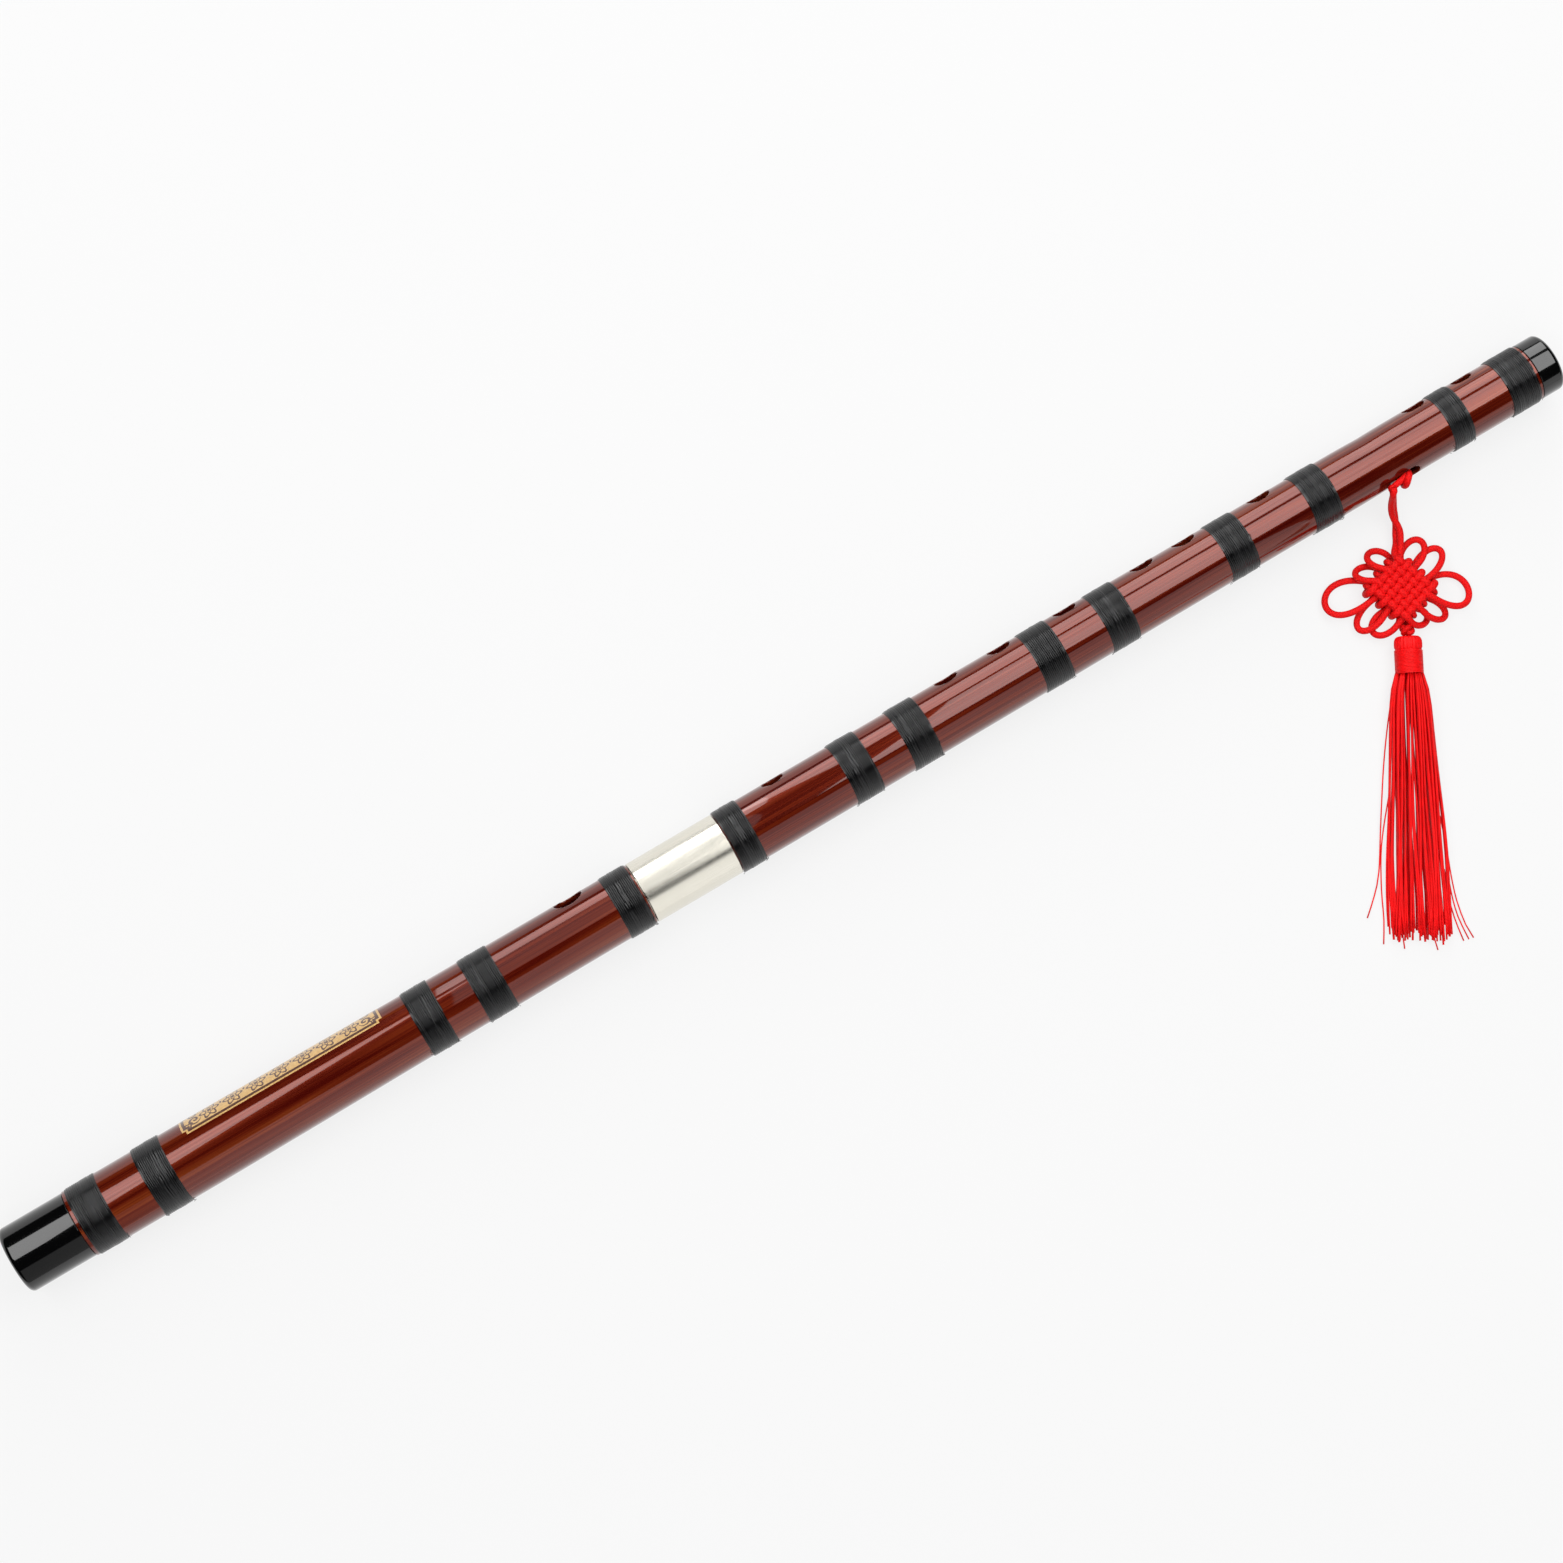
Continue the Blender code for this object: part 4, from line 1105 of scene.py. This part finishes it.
SLEEVE_RADIUS = 12.03 * MM
SLEEVE_RIM_RADIUS = 11.8 * MM
SLEEVE_EDGE = 0.25 * MM
sleeve = lathe(
    "joint_sleeve_metal",
    [(SLEEVE_START, SLEEVE_RIM_RADIUS), (SLEEVE_START + SLEEVE_EDGE, SLEEVE_RADIUS),
     (SLEEVE_END - SLEEVE_EDGE, SLEEVE_RADIUS), (SLEEVE_END, SLEEVE_RIM_RADIUS),
     (SLEEVE_END, SOCKET_RADIUS), (SLEEVE_START, SOCKET_RADIUS)],
    192, on_axis, corner=50,
)
nickel.give(sleeve)
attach(sleeve, "foot_section")
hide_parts("joint_sleeve")

TENON_START = -81.9 * MM
TENON_END = -40.9 * MM
TENON_RADIUS = 9.95 * MM
TENON_BORE = 8.8 * MM
tenon = lathe(
    "joint_tenon_metal",
    [(TENON_START, 9.75 * MM), (TENON_START + 0.4 * MM, TENON_RADIUS),
     (TENON_END - 0.5 * MM, TENON_RADIUS), (TENON_END, 9.7 * MM), (TENON_END, TENON_BORE),
     (TENON_START, TENON_BORE)],
    128, on_axis, corner=50,
)
nickel.give(tenon)
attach(tenon, "tenon")
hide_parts("joint_tenon")


# End caps: black horn rings, turned on a lathe, polished and glued over the turned-down ends.
horn = Finish(
    "black_horn", base_color=(0.0012, 0.0012, 0.0013), specular_ior_level=0.12, coat_weight=1.0,
    coat_roughness=0.03,
)
polish = horn.noise(horn.place((90, 260, 260)), detail=2)
horn.set(roughness=0.12 + polish * 0.1)
horn.bump(polish, 0.05 * MM, 0.25)

CAP_WALL = 1.4 * MM
CAP_FLOOR = 2.6 * MM
CAP_RIM_EDGE = 0.2 * MM
CAP_ROUNDING = 2.0 * MM


def cap_outline(end, rim, outer):
    """The outline of a cap from its rim to its rounded end and back along its bore."""
    way = 1 if end > rim else -1
    inner, floor = outer - CAP_WALL, end - way * CAP_FLOOR
    corner = []
    for degrees in (0, 18, 36, 54, 72, 90):
        turn = math.radians(degrees)
        along = end - way * CAP_ROUNDING * (1 - math.sin(turn))
        corner.append((along, outer - CAP_ROUNDING * (1 - math.cos(turn))))
    return [
        (rim, outer - CAP_RIM_EDGE), (rim + way * CAP_RIM_EDGE, outer), *corner,
        (end, BORE_RADIUS + EDGE), (end - way * EDGE, BORE_RADIUS), (floor, BORE_RADIUS),
        (floor, inner), (rim, inner),
    ]


for name, node, body, end, rim, outer in (
    ("head_cap_horn", "head_cap", "head_section", -LENGTH / 2, HEAD_CAP_RIM, 12.7 * MM),
    ("foot_cap_horn", "foot_cap", "foot_section", LENGTH / 2, FOOT_CAP_RIM, 11.3 * MM),
):
    cap = lathe(name, cap_outline(end, rim, outer), 192, on_axis, corner=50)
    horn.give(cap)
    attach(cap, body)
    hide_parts(node)


# Cork stopper: a plug of natural cork, pushed into the bore beside the blow hole.
CORK_START = -112.9 * MM
CORK_END = -100.9 * MM
CORK_RADIUS = 8.2 * MM
CORK_EDGE = 0.4 * MM

cork_finish = Finish("natural_cork", roughness=0.85)
grains = cork_finish.noise(cork_finish.place((700, 700, 700)), detail=4, roughness=0.7)
cork_finish.set(base_color=cork_finish.blend(grains, (0.10, 0.05, 0.02), (0.55, 0.36, 0.20)))
cork_finish.bump(grains, 0.3 * MM, 0.6)

cork = lathe(
    "head_cork_plug",
    [(CORK_START, ON_AXIS * MM), (CORK_START, CORK_RADIUS - CORK_EDGE),
     (CORK_START + CORK_EDGE, CORK_RADIUS), (CORK_END - CORK_EDGE, CORK_RADIUS),
     (CORK_END, CORK_RADIUS - CORK_EDGE), (CORK_END, ON_AXIS * MM)],
    96, on_axis,
)
cork_finish.give(cork)
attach(cork, "head_section")
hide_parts("head_cork")


# Studio: a pale floor and a pale room that the gloss doesn't mirror. Soft boxes stand over the head
# end, the joint and the foot section, dim ones on the tassel's side, and one only lights the floor.
LIGHT_DISTANCE = 1.25

bpy.context.scene.view_settings.view_transform = "Standard"
room = bpy.data.worlds.new("pale_room")
bpy.context.scene.world = room
room.use_nodes = True
room.node_tree.nodes["Background"].inputs["Color"].default_value = (0.94, 0.94, 0.94, 1)
room.node_tree.nodes["Background"].inputs["Strength"].default_value = 1.0
room.cycles_visibility.glossy = False
room.cycles_visibility.diffuse = False

bpy.ops.object.select_all(action="DESELECT")
bpy.ops.mesh.primitive_plane_add(size=8, location=(0, 0, -0.2 * MM))
floor = bpy.context.object
floor.name = "floor"
pale = Finish(
    "pale_paper", base_color=(0.10, 0.10, 0.10), roughness=1.0, specular_ior_level=0.0,
    emission_color=(1.0, 1.0, 1.0), emission_strength=0.79,
)
pale.give(floor)


def soft_light(
    name, degrees, x, size, brightness, distance=LIGHT_DISTANCE, slant=0, mirrored=True
):
    """A flat soft light at an angle from straight up towards +Y, facing the flute."""
    data = bpy.data.lights.new(name, "AREA")
    data.shape = "RECTANGLE"
    data.size, data.size_y = size
    data.energy = brightness * math.pi * size[0] * size[1]
    light = bpy.data.objects.new(name, data)
    angle = math.radians(degrees)
    light.matrix_world = (
        Matrix.Translation((x, 0, AXIS_HEIGHT)) @ Matrix.Rotation(-angle, 4, "X")
        @ Matrix.Translation((0, 0, distance)) @ Matrix.Rotation(math.radians(slant), 4, "Z")
    )
    light.visible_camera = False
    light.visible_glossy = mirrored
    bpy.context.scene.collection.objects.link(light)


soft_light("head_light", 28.6, -0.589, (0.65, 1.0), 4.4, slant=-22)
soft_light("joint_light", 65.5, -0.01, (0.26, 0.55), 4.4)
soft_light("joint_fill", 24.0, -0.01, (0.24, 1.33), 0.8)
soft_light("side_light", 64.0, 0.65, (1.06, 0.84), 4.4, slant=8)
soft_light("foot_light", 8.5, 0.73, (1.00, 1.27), 4.4, slant=-6)
soft_light("back_light_head", -63.0, -0.64, (0.52, 1.32), 0.35)
soft_light("back_light", -63.0, 0.09, (0.94, 1.32), 1.05)
soft_light("back_light_foot", -77.0, 0.86, (0.60, 0.55), 0.95)
soft_light("floor_light", -20.0, -0.75, (1.6, 2.2), 2.2, distance=1.9, mirrored=False)
